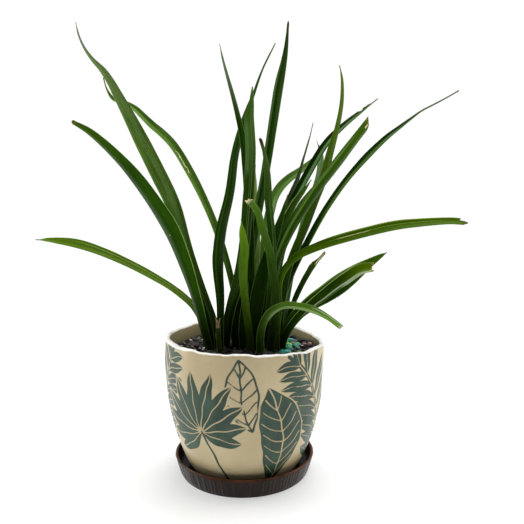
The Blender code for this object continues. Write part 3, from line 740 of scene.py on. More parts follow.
LEAF_LOOKS = (
    LeafLook(
        "leaf_tall_left",
        replace(
            MID, dark=srgb(44, 76, 14), light=srgb(112, 146, 62), streaks=0.45, tip=srgb(130, 154, 92),
            dry_from=0.93, dry=srgb(96, 112, 84), dry_pale=srgb(158, 174, 144), root_shade_to=0.5,
            marks=(
                # A pale line along the left margin and a band on the right half: painted highlight and
                # painted sheen.
                Mark(0.3, 0.9, -0.95, 0.04, EDGE_HIGHLIGHT, 0.5),
                Mark(0.25, 0.9, 0.3, 0.2, srgb(128, 164, 92), 0.35),
            ),
        ),
        point=0.03,
    ),
    LeafLook(
        "leaf_broad_left",
        replace(
            DARK, flank_shade=(0.05, 0.4), tip=srgb(58, 92, 16), tip_from=0.75, dry_from=0.992,
            dry=srgb(56, 62, 18), dry_pale=srgb(120, 116, 44),
            marks=(
                # Pale line along the right margin: painted highlight.
                Mark(0.15, 0.66, 0.96, 0.03, srgb(142, 184, 92), 0.9),
                Mark(0.505, 0.512, -0.1, 0.05, srgb(140, 168, 96), 0.8),
            ),
        ),
        ((-1.0, 0.008), (0.4, 0.0), (1.0, 0.004)),
        blunt=1.8,
    ),
    LeafLook(
        "leaf_scarred_left",
        replace(
            LIGHT, dark=srgb(66, 104, 26), light=srgb(126, 168, 70), tip=srgb(60, 92, 30), tip_from=0.82,
            flank_shade=(0.2, -0.3), keel=0.2,
            marks=(
                Mark(0.56, 0.66, -0.3, 0.09, srgb(248, 250, 190), 1.3, 0.9),
                Mark(0.3, 0.98, -0.94, 0.06, srgb(150, 186, 100), 0.6),
            ),
        ),
        curl=0.5,
        point=0.06,
    ),
    LeafLook(
        "leaf_low_left",
        replace(
            LIGHT, dark=srgb(58, 92, 6), light=srgb(110, 144, 28), flank_shade=(0.1, 0.25), tip=srgb(98, 134, 24),
            dry_from=0.99, dry=srgb(40, 46, 24),
            # Thin pale line beside the keel: painted highlight.
            marks=(Mark(0.08, 0.85, 0.42, 0.06, srgb(176, 204, 128)),),
        ),
        point=0.06,
    ),
    LeafLook(
        "leaf_bowed_left",
        replace(
            DARK, flank_shade=(0.2, -0.2), gloss=0.05,
            # Lighter band on the left flank: painted sheen.
            marks=(Mark(0.1, 0.9, -0.5, 0.1, srgb(78, 116, 50), 0.4),),
        ),
        point=0.05,
    ),
    LeafLook(
        "leaf_dried_stub",
        replace(
            DARK, dark=srgb(34, 54, 14), light=srgb(80, 100, 40), tip=srgb(96, 96, 46), slot="dry_leaf",
            dry=srgb(112, 82, 42), dry_pale=srgb(222, 208, 158), dry_from=0.78, streaks=0.9, root_shade_to=0.6,
        ),
        ((-1.0, 0.0), (-0.6, 0.16), (-0.25, 0.04), (0.1, 0.2), (0.5, 0.06), (0.8, 0.18), (1.0, 0.02)),
        (Tear(Side.LEFT, 0.72, 0.9, 0.3, 0.9), Tear(Side.RIGHT, 0.8, 0.95, 0.3, 0.9)),
        wave=0.7,
    ),
    LeafLook(
        "leaf_cut_centre",
        replace(
            MID, dark=srgb(14, 38, 2), light=srgb(50, 82, 20), tip=srgb(70, 104, 34), flank_shade=(0.2, -0.6),
            dry_from=0.985, dry=srgb(40, 60, 24), dry_pale=srgb(136, 164, 104),
            marks=(
                # Pale patch on the left flank: painted sheen.
                Mark(0.68, 0.9, -0.6, 0.2, srgb(118, 156, 100), 0.4),
                Mark(0.2, 0.96, 0.35, 0.05, srgb(126, 168, 76), 0.45),
                Mark(0.2, 0.96, -0.12, 0.04, srgb(126, 168, 76), 0.35),
            ),
        ),
        ((-1.0, 0.012), (0.1, 0.0), (1.0, 0.02)),
    ),
    LeafLook("leaf_thin_centre", replace(DARK, tip=srgb(132, 148, 114), tip_from=0.75, keel=0.3), point=0.04),
    LeafLook(
        "leaf_tallest",
        replace(
            DARK, tip=srgb(40, 58, 18), flank_shade=(0.1, 0.25), dry_from=0.986, dry=srgb(44, 34, 18),
            dry_pale=srgb(92, 74, 40), marks=(Mark(0.1, 0.96, -0.72, 0.12, srgb(112, 152, 82), 0.6),),
        ),
        point=0.01,
        blunt=1.0,
    ),
    LeafLook(
        "leaf_pale_front",
        replace(
            LIGHT, dark=srgb(46, 78, 8), light=srgb(88, 124, 26), tip=srgb(98, 134, 22), flank_shade=(-0.1, 0.3),
            root_shade_to=0.65,
        ),
        point=0.08,
    ),
    LeafLook(
        "leaf_yellow_rear",
        replace(
            LIGHT, dark=srgb(104, 138, 54), light=srgb(176, 206, 112), tip=srgb(170, 198, 104),
            margin=srgb(178, 198, 158),
        ),
        point=0.1,
    ),
    LeafLook(
        "leaf_arching_rear",
        replace(
            LIGHT, dark=srgb(70, 112, 30), light=srgb(124, 164, 78), tip=srgb(96, 134, 52), root_shade_to=0.2,
            # Paler band on the lower half: painted light, where light shines through the leaf.
            marks=(Mark(0.2, 0.7, 0.35, 0.3, srgb(176, 210, 146), 0.45),),
        ),
        point=0.06,
    ),
    LeafLook(
        "leaf_brown_tipped",
        replace(
            DARK, dark=srgb(14, 38, 2), light=srgb(46, 78, 18), tip=srgb(64, 92, 34), dry_from=0.972,
            dry=srgb(34, 30, 14), dry_pale=srgb(80, 62, 38),
            marks=(Mark(0.2, 0.8, 0.1, 0.1, srgb(84, 128, 62), 0.5),),
        ),
        ((-1.0, 0.008), (-0.3, 0.0), (1.0, 0.012)),
        blunt=1.25,
    ),
    LeafLook(
        "leaf_curled_tip",
        replace(
            DARK, dark=srgb(20, 46, 6), light=srgb(58, 90, 26), tip=srgb(80, 118, 30), dry_from=0.983,
            dry=srgb(206, 172, 112), dry_pale=srgb(252, 244, 212), root_shade_to=0.85, tip_from=0.5,
        ),
        ((-1.0, 0.0), (-0.5, 0.012), (0.0, 0.002), (0.4, 0.014), (1.0, 0.02)),
        blunt=2.3,
        curl=0.9,
    ),
    LeafLook(
        "leaf_torn_right",
        replace(
            DARK, flank_shade=(-0.5, 0.1), dry_from=0.955, tip_from=0.8, dry=srgb(84, 96, 62),
            dry_pale=srgb(150, 158, 120), marks=(Mark(0.3, 0.96, 0.35, 0.3, srgb(124, 168, 106), 0.65),),
        ),
        ((-1.0, 0.03), (-0.3, 0.02), (0.3, 0.0), (1.0, 0.0)),
        (Tear(Side.LEFT, 0.918, 0.934, 0.75, 0.1), Tear(Side.LEFT, 0.96, 1.0, 0.6, 0.4)),
    ),
    LeafLook(
        "leaf_spike",
        replace(DARK, dark=srgb(40, 56, 26), light=srgb(80, 98, 60), tip=srgb(98, 108, 80)),
        point=0.1,
    ),
    LeafLook(
        "leaf_split_right",
        replace(DARK, marks=(Mark(0.72, 1.0, -0.55, 0.06, srgb(178, 208, 132), 0.9),)),
        ((-1.0, 0.17), (-0.2, 0.05), (0.3, 0.0), (1.0, 0.02)),
        point=0.05,
    ),
    LeafLook("leaf_hidden_tip", replace(MID, dark=srgb(24, 56, 4), light=srgb(64, 104, 20)), point=0.08),
    LeafLook(
        "leaf_grey_rear",
        replace(GREY, tip_from=0.7, dry_from=0.955, dry=srgb(88, 92, 74), dry_pale=srgb(140, 146, 122)),
        point=0.06,
    ),
    LeafLook(
        "leaf_tall_right",
        replace(
            MID, dark=srgb(34, 62, 4), light=srgb(76, 108, 18), tip=srgb(110, 138, 38), dry_from=0.985,
            dry=srgb(84, 88, 44), flank_shade=(0.2, -0.2), tip_from=0.5,
        ),
        point=0.04,
    ),
    LeafLook(
        "leaf_cut_right",
        replace(
            DARK, dark=srgb(14, 38, 1), light=srgb(52, 86, 8), tip=srgb(66, 102, 14), flank_shade=(0.3, -0.1),
            dry_from=0.994, dry=srgb(112, 116, 36), dry_pale=srgb(160, 152, 76),
            marks=(
                Mark(0.3, 0.98, -0.7, 0.12, srgb(136, 176, 92), 0.4),
                Mark(0.2, 0.98, 0.9, 0.05, srgb(136, 176, 92), 0.5),
                Mark(0.972, 0.99, -0.16, 0.08, srgb(246, 214, 180), 1.0),
            ),
        ),
        ((-1.0, 0.0), (0.4, 0.01), (1.0, 0.02)),
    ),
    LeafLook(
        "leaf_hair_tip",
        replace(
            DARK, tip=srgb(108, 124, 90), tip_from=0.8, flank_shade=(-0.2, 0.15),
            marks=(
                Mark(0.4, 0.84, 0.5, 0.4, srgb(104, 142, 68), 0.5),
                Mark(0.05, 0.6, 0.94, 0.05, EDGE_HIGHLIGHT, 0.6),
            ),
        ),
    ),
    LeafLook(
        "leaf_long_right",
        replace(
            LIGHT, dark=srgb(44, 76, 1), light=srgb(86, 118, 6), tip=srgb(84, 116, 6), flank_shade=(-0.3, 0.1),
            gloss=0.05, root=srgb(66, 60, 22), root_shade_to=0.2, dry_from=0.993, dry=srgb(76, 66, 28),
            dry_pale=srgb(116, 104, 52),
            marks=(
                # Pale line between the flanks: painted highlight.
                Mark(0.5, 1.0, -0.3, 0.05, srgb(160, 200, 84), 0.55),
                Mark(0.5, 1.0, -0.92, 0.08, srgb(166, 204, 70), 0.6),
                Mark(0.56, 0.69, -0.2, 0.035, srgb(240, 232, 160), 1.0, 0.12),
            ),
        ),
        ((-1.0, 0.026), (-0.4, 0.03), (-0.32, 0.014), (0.1, 0.0), (0.4, 0.008), (1.0, 0.012)),
        blunt=3.1,
    ),
    LeafLook(
        "leaf_torn_short",
        replace(
            DARK, dry_from=0.986, dry=srgb(44, 38, 18), dry_pale=srgb(150, 130, 78),
            marks=(Mark(0.85, 1.0, 0.62, 0.14, srgb(250, 230, 184), 1.2),),
        ),
        ((-1.0, 0.13), (-0.5, 0.1), (-0.15, 0.07), (-0.05, 0.004), (0.3, 0.0), (0.6, 0.01), (1.0, 0.014)),
        (Tear(Side.LEFT, 0.84, 0.95, 0.2, 0.4),),
        blunt=2.4,
    ),
    LeafLook(
        "leaf_wide_right",
        replace(
            MID, dark=srgb(24, 52, 1), light=srgb(68, 102, 8), tip=srgb(78, 112, 16), flank_shade=(0.25, -0.35),
            gloss=0.05, dry_from=0.982, dry=srgb(70, 54, 34),
            marks=(Mark(0.3, 0.98, -0.93, 0.05, srgb(150, 190, 100), 0.7),),
        ),
        point=0.03,
    ),
    LeafLook(
        "leaf_low_right",
        replace(
            # Its lighter tip is partly painted light on its lit end.
            MID, dark=srgb(18, 44, 1), light=srgb(56, 92, 4), tip=srgb(100, 134, 8), flank_shade=(-0.1, 0.1),
            gloss=0.05, dry_from=0.978, dry=srgb(120, 84, 36), dry_pale=srgb(226, 204, 136), tip_from=0.7,
            marks=(
                Mark(0.2, 0.98, -0.95, 0.05, srgb(176, 206, 122), 0.9),
                # White bands near the lower margin, with a softer band round them: painted sheen and painted
                # highlight.
                Mark(0.36, 0.94, 0.64, 0.09, srgb(232, 240, 220), 0.85),
                Mark(0.72, 1.04, 0.86, 0.16, srgb(196, 212, 172), 0.8),
                Mark(0.3, 0.98, 0.62, 0.18, srgb(104, 140, 66), 0.35),
            ),
        ),
        (
            (-1.0, 0.026), (-0.6, 0.014), (-0.2, 0.034), (0.1, 0.02), (0.4, 0.034), (0.6, 0.022),
            (0.72, 0.0), (1.0, 0.01),
        ),
    ),
    LeafLook(
        "leaf_arching_front",
        replace(
            LIGHT, dark=srgb(50, 84, 10), light=srgb(98, 136, 42), tip=srgb(96, 136, 36), root_shade_to=0.75,
            margin=srgb(140, 168, 98), dry_from=0.99, dry=srgb(130, 138, 100), dry_pale=srgb(206, 210, 184),
            marks=(
                Mark(0.35, 0.9, 0.72, 0.2, srgb(150, 176, 126), 0.5),
                # Whitish stripe near the end on the upper side: painted sheen.
                Mark(0.74, 1.0, -0.52, 0.09, srgb(206, 220, 190), 0.6),
            ),
        ),
        ((-1.0, 0.0), (0.0, 0.004), (0.5, 0.0), (1.0, 0.006)),
        blunt=2.3,
    ),
    *(LeafLook("leaf_inner_" + place, SHADED_INNER, point=0.06) for place in ("left", "centre", "front", "broad")),
)


@dataclass
class LeafSpine:
    """The run of a leaf read from its plain solid: middle, half width, fold and front face at each step."""

    middle: np.ndarray
    half: np.ndarray
    fold: np.ndarray
    face: np.ndarray
    at: np.ndarray = field(init=False)

    def __post_init__(self) -> None:
        """Measures how far along the leaf each step lies."""
        gaps = np.linalg.norm(np.diff(self.middle, axis=0), axis=1)
        self.at = np.concatenate(([0.0], np.cumsum(gaps)))

    @classmethod
    def of_node(cls, name: str) -> "LeafSpine":
        """Reads a spine from a leaf's solid.

        Args:
            name: The node's name.

        Returns:
            The spine, from the root to the tip, its face towards the front.
        """
        rings = cls.rings_of(name)
        centres = np.array([corners.mean(axis=0) for corners in rings])
        runs = np.gradient(centres, axis=0)
        side = np.linalg.svd(rings[0] - centres[0])[2][0]
        rows = []
        for corners, run in zip(rings, runs):
            run = run / np.linalg.norm(run)
            side = side - run * (side @ run)
            corners = corners[np.argsort(corners @ side)]
            left, middle, right = (corners[i : i + 2].mean(axis=0) for i in (0, 2, 4))
            side = (right - left) / np.linalg.norm(right - left)
            face = np.cross(side, run)
            rows.append((middle, (right - left) / 2.0, ((left + right) / 2.0 - middle) @ face, face))
        middle, half, fold, face = (np.array(column) for column in zip(*rows))
        turn = 1.0 if face[:, 1].sum() < 0 else -1.0
        return cls(middle, half * turn, fold * turn, face * turn)

    @staticmethod
    def rings_of(name: str) -> list[np.ndarray]:
        """Reads the rings of corners that a leaf's solid is made of.

        Args:
            name: The node's name.

        Returns:
            The corners of each ring, from the root to the tip.
        """
        mesh = bmesh.new()
        mesh.from_mesh(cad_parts[name].data)
        bmesh.ops.remove_doubles(mesh, verts=mesh.verts, dist=CORNER_GAP)
        ring = set(sorted(mesh.verts, key=lambda vert: vert.co.z)[:RING_CORNERS])
        seen = set(ring)
        rings = []
        while ring:
            rings.append(np.array([vert.co for vert in ring]))
            ring = {edge.other_vert(vert) for vert in ring for edge in vert.link_edges} - seen
            seen |= ring
        mesh.free()
        return rings

    def at_places(self, places: np.ndarray) -> tuple[np.ndarray, np.ndarray, np.ndarray, np.ndarray]:
        """The run at places along the leaf.

        Args:
            places: Distances from the root in metres.

        Returns:
            Middle, half width, fold and face at each place.
        """
        columns = (self.middle, self.half, self.fold[:, None], self.face)
        middle, half, fold, face = (self.curve(column, places) for column in columns)
        return middle, half, fold[:, 0], face / np.linalg.norm(face, axis=1)[:, None]

    def curve(self, values: np.ndarray, places: np.ndarray) -> np.ndarray:
        """Values at places along the leaf, on a smooth curve through those of its steps.

        Args:
            values: A row of numbers for each step.
            places: Distances from the root in metres.

        Returns:
            A row of numbers for each place.
        """
        slopes = np.gradient(values, self.at, axis=0)
        i = np.clip(np.searchsorted(self.at, places, side="right") - 1, 0, len(self.at) - 2)
        gap = (self.at[i + 1] - self.at[i])[:, None]
        t = (places - self.at[i])[:, None] / gap
        start = (1 + 2 * t) * (1 - t) ** 2 * values[i] + t * (1 - t) ** 2 * gap * slopes[i]
        end = t * t * (3 - 2 * t) * values[i + 1] + t * t * (t - 1) * gap * slopes[i + 1]
        return start + end


@dataclass
class LeafClump:
    """All the leaves, each a fine folded blade on the run of its plain solid."""

    step: float = 2.2 * MM
    least_rows: int = 12
    columns: int = 14
    thickness: float = 1.4 * MM
    margin_share: float = 0.42
    fold_scale: float = 1.5
    fold_power: float = 1.2
    point_loss: float = 0.8
    curl_from: float = 0.88
    curl_depth: float = 6.0
    blunt_from: float = 0.7
    waves: tuple[Wave, ...] = (Wave(0.5, 21.0, 1.0), Wave(0.3, 37.0, 1.7))
    wave_shift: float = 50.0
    skin_shift: float = 90.0
    rounding: float = 0.16 * MM
    rim_angle: float = 60.0
    shading_angle: float = 75.0
    seed: int = 11

    def build(self) -> None:
        """Makes every leaf and dresses it."""
        draw = random.Random(self.seed)
        for look in LEAF_LOOKS:
            obj = self.make_leaf(look, draw.uniform(0.0, self.wave_shift))
            material = look.skin.material(look.name + "_skin", draw.uniform(0.0, self.skin_shift))
            dress(obj, material, look.skin.slot, look.name)

    def make_leaf(self, look: LeafLook, shift: float) -> bpy.types.Object:
        """Shapes one leaf from a grid that follows its spine, thickened and rounded.

        Args:
            look: The leaf.
            shift: Where its small waves start.

        Returns:
            The finished mesh.
        """
        spine = LeafSpine.of_node(look.name)
        rows = max(self.least_rows, round(spine.at[-1] / self.step))
        deselect()
        bpy.ops.mesh.primitive_grid_add(
            x_subdivisions=self.columns, y_subdivisions=rows, size=2.0, location=(0, 0, 0)
        )
        obj = bpy.context.object
        obj.name = look.name + "_blade"
        flat = points_of(obj)
        across = flat[:, 0]
        share = (flat[:, 1] + 1.0) / 2.0 * (1.0 - look.missing(across))
        kept = np.where(across < 0, look.torn(share, Side.LEFT), look.torn(share, Side.RIGHT))
        place = across * kept
        set_points(obj, self.folded(look, spine, place, share, shift))
        self.map_skin(obj, place, share)
        self.thicken(obj, place)
        return obj

    def folded(
        self, look: LeafLook, spine: LeafSpine, place: np.ndarray, share: np.ndarray, shift: float
    ) -> np.ndarray:
        """Folds a blade along its spine, with its point, its curl and its small waves.

        Args:
            look: The leaf.
            spine: Its run.
            place: Places across it, from -1 to 1.
            share: Shares of its length.
            shift: Where its small waves start.

        Returns:
            Rows of x, y and z in metres.
        """
        out = place
        if look.point:
            out = place * (1.0 - self.point_loss * eased(share, 1.0 - look.point, 1.0))
        ripple = sum(wave.at(share, shift) for wave in self.waves)
        waved = look.wave * MM * ripple * out * np.abs(out)
        curl = 1.0 + look.curl * self.curl_depth * eased(share, self.curl_from, 1.0)
        middle, half, fold, face = spine.at_places(share * spine.at[-1])
        if look.blunt:
            wide = np.linalg.norm(half, axis=1)
            least = np.where(share > self.blunt_from, look.blunt * MM, 0.0)
            half = half * (np.maximum(wide, least) / wide)[:, None]
        lift = fold * self.fold_scale * np.abs(out) ** self.fold_power * curl + waved
        return middle + half * out[:, None] + face * lift[:, None]

    def map_skin(self, obj: bpy.types.Object, place: np.ndarray, share: np.ndarray) -> None:
        """Lays the leaf's own UV map: across it and along it.

        Args:
            obj: The leaf.
            place: Each vertex's place across, from -1 to 1.
            share: Its share of the length.
        """
        layer = obj.data.uv_layers.new(name="leaf")
        corner = np.empty(len(obj.data.loops), int)
        obj.data.loops.foreach_get("vertex_index", corner)
        uv = np.column_stack(((place[corner] + 1.0) / 2.0, share[corner]))
        layer.data.foreach_set("uv", uv.ravel())

    def thicken(self, obj: bpy.types.Object, place: np.ndarray) -> None:
        """Gives the blade its thickness, full at the keel and thin at the margins, and rounds its rim.

        Args:
            obj: The leaf.
            place: Each vertex's place across, from -1 to 1.
        """
        group = obj.vertex_groups.new(name="thick")
        for index, side in enumerate(place):
            group.add([index], 1.0 - (1.0 - self.margin_share) * side * side, "REPLACE")
        solid = obj.modifiers.new("thickness", "SOLIDIFY")
        solid.thickness = self.thickness
        solid.offset = 0.0
        solid.vertex_group = "thick"
        solid.thickness_vertex_group = 0.0
        rounded = obj.modifiers.new("rounded", "BEVEL")
        rounded.width = self.rounding
        rounded.segments = 1
        rounded.angle_limit = math.radians(self.rim_angle)
        apply_all(obj)
        set_points(obj, points_of(obj))
        smooth(obj, self.shading_angle)


@dataclass(frozen=True)
class PotGlaze:
    """Finish of the pot: satin cream glaze, teal brushwork with scratched lines, and a bright bare lip."""

    cream: Colour = srgb(212, 197, 157)
    warm: Colour = srgb(194, 176, 136)
    lip: Colour = srgb(252, 250, 244)
    # The inside's glaze, a duller olive cream, partly painted shade inside the pot.
    inner: Colour = srgb(176, 164, 122)
    # Painted shade deeper inside the pot, and the darker line along the paint's edge.
    shade_and_edge_line: Colour = srgb(120, 108, 72)
    teal: Colour = srgb(60, 94, 74)
    deep: Colour = srgb(20, 48, 36)
    speck: Colour = srgb(150, 122, 92)
    scratch_width: float = 0.5
    line_width: float = 0.62

    def material(self) -> bpy.types.Material:
        """Builds the glaze. The mesh's attributes say how far each point is from the brushwork and the lip.

        Returns:
            The material.
        """
        shader = Shader("painted_glaze")
        where = shader.position()
        below_lip = shader.attribute("below_lip")
        patch = shader.cloud(where, 20.0, 4.0).rise(0.35, 0.7)
        grain = shader.cloud(where, 300.0, 2.0)
        paint = self.paint(shader, grain)
        painted = 1.0 - paint.rise(-0.1, 0.12)
        groove = paint.within(0.0, 0.25, 0.25)
        body = shader.mix(groove * 0.35, self.body(shader, below_lip, patch, grain), self.shade_and_edge_line)
        whole = shader.mix(painted, body, self.wash(shader, paint))
        bare = 1.0 - (below_lip + (patch - 0.5) * 1.6 + (grain - 0.5) * 0.8).rise(0.9, 1.8)
        whole = shader.mix(bare, whole, self.lip)
        pressed = shader.cloud(where, 42.0, 2.0)
        shader.bump(grain * 0.2 + patch * 0.5 + pressed * 3.0 - painted * 0.2 - groove * 0.3, 0.4, 0.0006)
        return shader.finish(
            Base_Color=whole,
            Roughness=(painted * 0.1 + grain * 0.1 + 0.26).clamped(),
            Specular_IOR_Level=0.35,
            Coat_Weight=0.15,
            Coat_Roughness=0.12,
        )

    def body(self, shader: Shader, below_lip: Tone, patch: Tone, grain: Tone) -> Tone:
        """Mixes the cream of the unpainted glaze, with its specks and the inside painted darker deeper below
        the rim, as painted shade.

        Args:
            shader: The material under construction.
            below_lip: How far each point is below the rim in millimetres.
            patch: Noise in patches.
            grain: Fine noise.

        Returns:
            The colour.
        """
        where = shader.position()
        inside = shader.attribute("inside")
        cream = shader.mix(patch * 0.75 + grain * 0.2, self.cream, self.warm)
        specks = 1.0 - shader.scatter(where, 170.0).rise(0.04, 0.13)
        cream = shader.mix(specks * 0.4, cream, self.speck)
        # Painted shade: the inside darkens deeper below the rim, in uneven patches.
        inside_shade = (inside * below_lip.rise(2.0, 16.0) * 0.7 + patch * 0.3).clamped()
        return shader.mix(inside, cream, shader.mix(inside_shade, self.inner, self.shade_and_edge_line))

    def wash(self, shader: Shader, paint: Tone) -> Tone:
        """Mixes the brushwork's colour, uneven as brushed paint is and darker at its edges.

        Args:
            shader: The material under construction.
            paint: How far each point is from the paint, below 0 inside it.

        Returns:
            The colour.
        """
        stroke = shader.cloud(shader.position((1.0, 1.0, 0.3)), 130.0, 4.0).rise(0.25, 0.75)
        pool = shader.cloud(shader.position(), 34.0, 3.0).rise(0.3, 0.75)
        colour = shader.mix((stroke * 0.45 + pool * 0.55).clamped(), self.deep, self.teal)
        return shader.mix(paint.rise(-0.9, -0.2) * 0.5, colour, self.deep)

    def paint(self, shader: Shader, grain: Tone) -> Tone:
        """Joins the drawing's solids, scratched lines and drawn lines.

        Args:
            shader: The material under construction.
            grain: Noise that makes the edges a little rough.

        Returns:
            How far each point is from the paint in millimetres, below 0 inside it.
        """
        pressure = shader.cloud(shader.position(), 60.0, 2.0) * 0.5 - 0.25
        scratched = self.scratch_width + pressure * 0.6 - shader.attribute("scratch")
        solid = shader.attribute("solid").most(scratched)
        line = shader.attribute("line") - (self.line_width + pressure)
        return solid.least(line) + (grain - 0.5) * 0.25


@dataclass
class Brushwork:
    """A generic painted design of broad leaves, fern fronds, fan palms and outlined leaves, in millimetres.

    The wall is unrolled: s runs round the pot at its rim's radius, from the front to the right, and z is up.
    """

    reach: float
    s: np.ndarray
    z: np.ndarray
    gap: float = 1.3
    line_gap: float = 0.8
    broad_veins: int = 7
    outline_veins: int = 5
    vein_span: Span = (0.1, 0.76)
    vein_rise: float = 0.14
    vein_reach: float = 0.9
    frond_pairs: int = 9
    leaflet_width: float = 4.9
    fan_fingers: int = 11
    fan_spread: float = 112.0
    finger_width: float = 5.8
    sprig_pairs: int = 4
    sprig_leaf_width: float = 3.4
    solid: np.ndarray = field(init=False)
    scratch: np.ndarray = field(init=False)
    line: np.ndarray = field(init=False)

    def __post_init__(self) -> None:
        """Shakes the hand a little and draws everything."""
        s, z, turn = self.s, self.z, self.s / self.reach
        self.s = s + 0.9 * np.sin(z * 0.11 + 0.5) + 0.35 * np.sin(z * 0.43 + turn * 8)
        self.z = z + 0.8 * np.sin(turn * 6) + 0.35 * np.sin(turn * 24 + z * 0.11)
        self.solid, self.scratch, self.line = (np.full(len(s), FAR) for _ in range(3))
        self.lay_out()

    def lay_out(self) -> None:
        """Places the motifs round the pot, those in front last."""
        self.frond((-98.0, 6.0), (-96.0, 60.0), (-60.0, 110.0), 34.0)
        self.frond((82.0, 6.0), (88.0, 64.0), (36.0, 106.0), 38.0)
        self.outlined((8.0, 54.0), (-2.0, 106.0), 12.5, 3.0)
        self.broad((30.0, 6.0), (20.0, 86.0), 19.0, -9.0)
        self.fan((-34.0, 50.0), 100.0, 47.0, (-12.0, 8.0))
        self.broad((122.0, 8.0), (132.0, 92.0), 18.0, 8.0)
        self.outlined((106.0, 62.0), (98.0, 106.0), 11.0, 2.0)
        self.outlined((154.0, 62.0), (148.0, 106.0), 12.0, -3.0)
        self.fan((180.0, 48.0), 84.0, 46.0, (168.0, 8.0))
        self.frond((-166.0, 8.0), (-172.0, 60.0), (-138.0, 110.0), 33.0)
        self.outlined((-196.0, 8.0), (-192.0, 46.0), 11.0, -3.0)
        self.sprig((-130.0, 8.0), (-124.0, 46.0), 13.0)

    def near(self, origin: Point) -> tuple[np.ndarray, np.ndarray]:
        """Points of the wall as seen from an origin, the short way round."""
        around = self.reach * FULL_TURN
        return (self.s - origin[0] + around / 2.0) % around - around / 2.0, self.z - origin[1]

    def lens(self, start: Point, end: Point, width: float, bend: float) -> tuple[np.ndarray, np.ndarray]:
        """Distances to a pointed leaf between two arcs.

        Args:
            start: Its base.
            end: Its tip.
            width: Its half width.
            bend: How far its middle bows to the left.

        Returns:
            Distance to its outline, below 0 inside it, and distance to its midrib.
        """
        x, y = self.near(start)
        run = np.subtract(end, start)
        half = float(np.hypot(*run)) / 2.0
        run = run / (2.0 * half)
        along = x * run[0] + y * run[1]
        share = np.clip(along / (2.0 * half), 0.0, 1.0)
        off = np.abs(y * run[0] - x * run[1] - bend * 4.0 * share * (1.0 - share))
        along = np.abs(along - half)
        radius = (half * half + width * width) / (2.0 * width)
        sunk = radius - width
        at_tip = (along - half) * sunk > off * half
        shape = np.where(at_tip, np.hypot(off, along - half), np.hypot(off + sunk, along) - radius)
        return shape, np.hypot(off, np.maximum(along - half, 0.0))

    def stroke(self, points: list[Point]) -> np.ndarray:
        """How far points of the wall are from a line.

        Args:
            points: The line's corners in order.

        Returns:
            The distances.
        """
        nearest = np.full(len(self.s), FAR)
        for start, end in zip(points, points[1:]):
            x, y = self.near(start)
            run = np.subtract(end, start)
            share = np.clip((x * run[0] + y * run[1]) / (run @ run), 0.0, 1.0)
            nearest = np.minimum(nearest, np.hypot(x - share * run[0], y - share * run[1]))
        return nearest

    @staticmethod
    def bowed(start: Point, bow: Point, end: Point, count: int) -> list[Point]:
        """Points on a curve that leaves a start towards a bow and arrives at an end.

        Args:
            start: Where it starts.
            bow: The point that it bows towards.
            end: Where it ends.
            count: How many points.

        Returns:
            The points.
        """
        t = np.linspace(0.0, 1.0, count)[:, None]
        points = (1 - t) ** 2 * start + 2 * t * (1 - t) * np.array(bow) + t * t * end
        return [tuple(point) for point in points]

    def clear(self, shape: np.ndarray) -> None:
        """Scrapes away what lies under a new leaf, and a gap round it.

        Args:
            shape: Distance to the new leaf's outline.
        """
        self.solid = np.maximum(self.solid, self.gap - shape)
        self.line = np.maximum(self.line, self.gap + self.line_gap - shape)
        self.scratch = np.where(shape < self.gap, FAR, self.scratch)

    def fill(self, shape: np.ndarray, rib: np.ndarray | float = FAR) -> None:
        """Paints a solid shape with a scratched rib.

        Args:
            shape: Distance to its outline.
            rib: Distance to the scratched line.
        """
        self.solid = np.minimum(self.solid, shape)
        self.scratch = np.minimum(self.scratch, np.where(shape < 0.7, rib, FAR))

    def side_veins(self, base: Point, tip: Point, width: float, bend: float, count: int) -> np.ndarray:
        """How far points are from the side veins of a leaf, which lean towards its tip.

        Args:
            base: The leaf's base.
            tip: Its tip.
            width: Its half width.
            bend: How far its middle bows to the left.
            count: How many pairs of veins it has.

        Returns:
            The distances.
        """
        run = np.subtract(tip, base)
        over = np.array((-run[1], run[0])) / np.hypot(*run)
        nearest = np.full(len(self.s), FAR)
        for low in np.linspace(*self.vein_span, count):
            high = low + self.vein_rise
            start = base + run * low + over * bend * 4 * low * (1 - low)
            for hand in (-1, 1):
                out = hand * self.vein_reach * width * 4 * high * (1 - high)
                end = base + run * high + over * (bend * 4 * high * (1 - high) + out)
                bow = (start + end) / 2 - run * 0.002 * abs(out)
                nearest = np.minimum(nearest, self.stroke(self.bowed(start, bow, end, 4)))
        return nearest

    def broad(self, base: Point, tip: Point, width: float, bend: float) -> None:
        """A broad solid leaf with a scratched midrib and side veins.

        Args:
            base: Its base.
            tip: Its tip.
            width: Its half width.
            bend: How far its middle bows to the left.
        """
        shape, rib = self.lens(base, tip, width, bend)
        self.clear(shape)
        self.fill(shape, np.minimum(rib - 0.2, self.side_veins(base, tip, width, bend, self.broad_veins)))

    def outlined(self, base: Point, tip: Point, width: float, bend: float) -> None:
        """A leaf drawn in outline only, with a midrib and side veins.

        Args:
            base: Its base.
            tip: Its tip.
            width: Its half width.
            bend: How far its middle bows to the left.
        """
        shape, rib = self.lens(base, tip, width, bend)
        self.clear(shape)
        veins = self.side_veins(base, tip, width, bend, self.outline_veins)
        inner = np.maximum(np.minimum(rib, veins + 0.15), shape)
        self.line = np.minimum(self.line, np.minimum(np.abs(shape), inner))

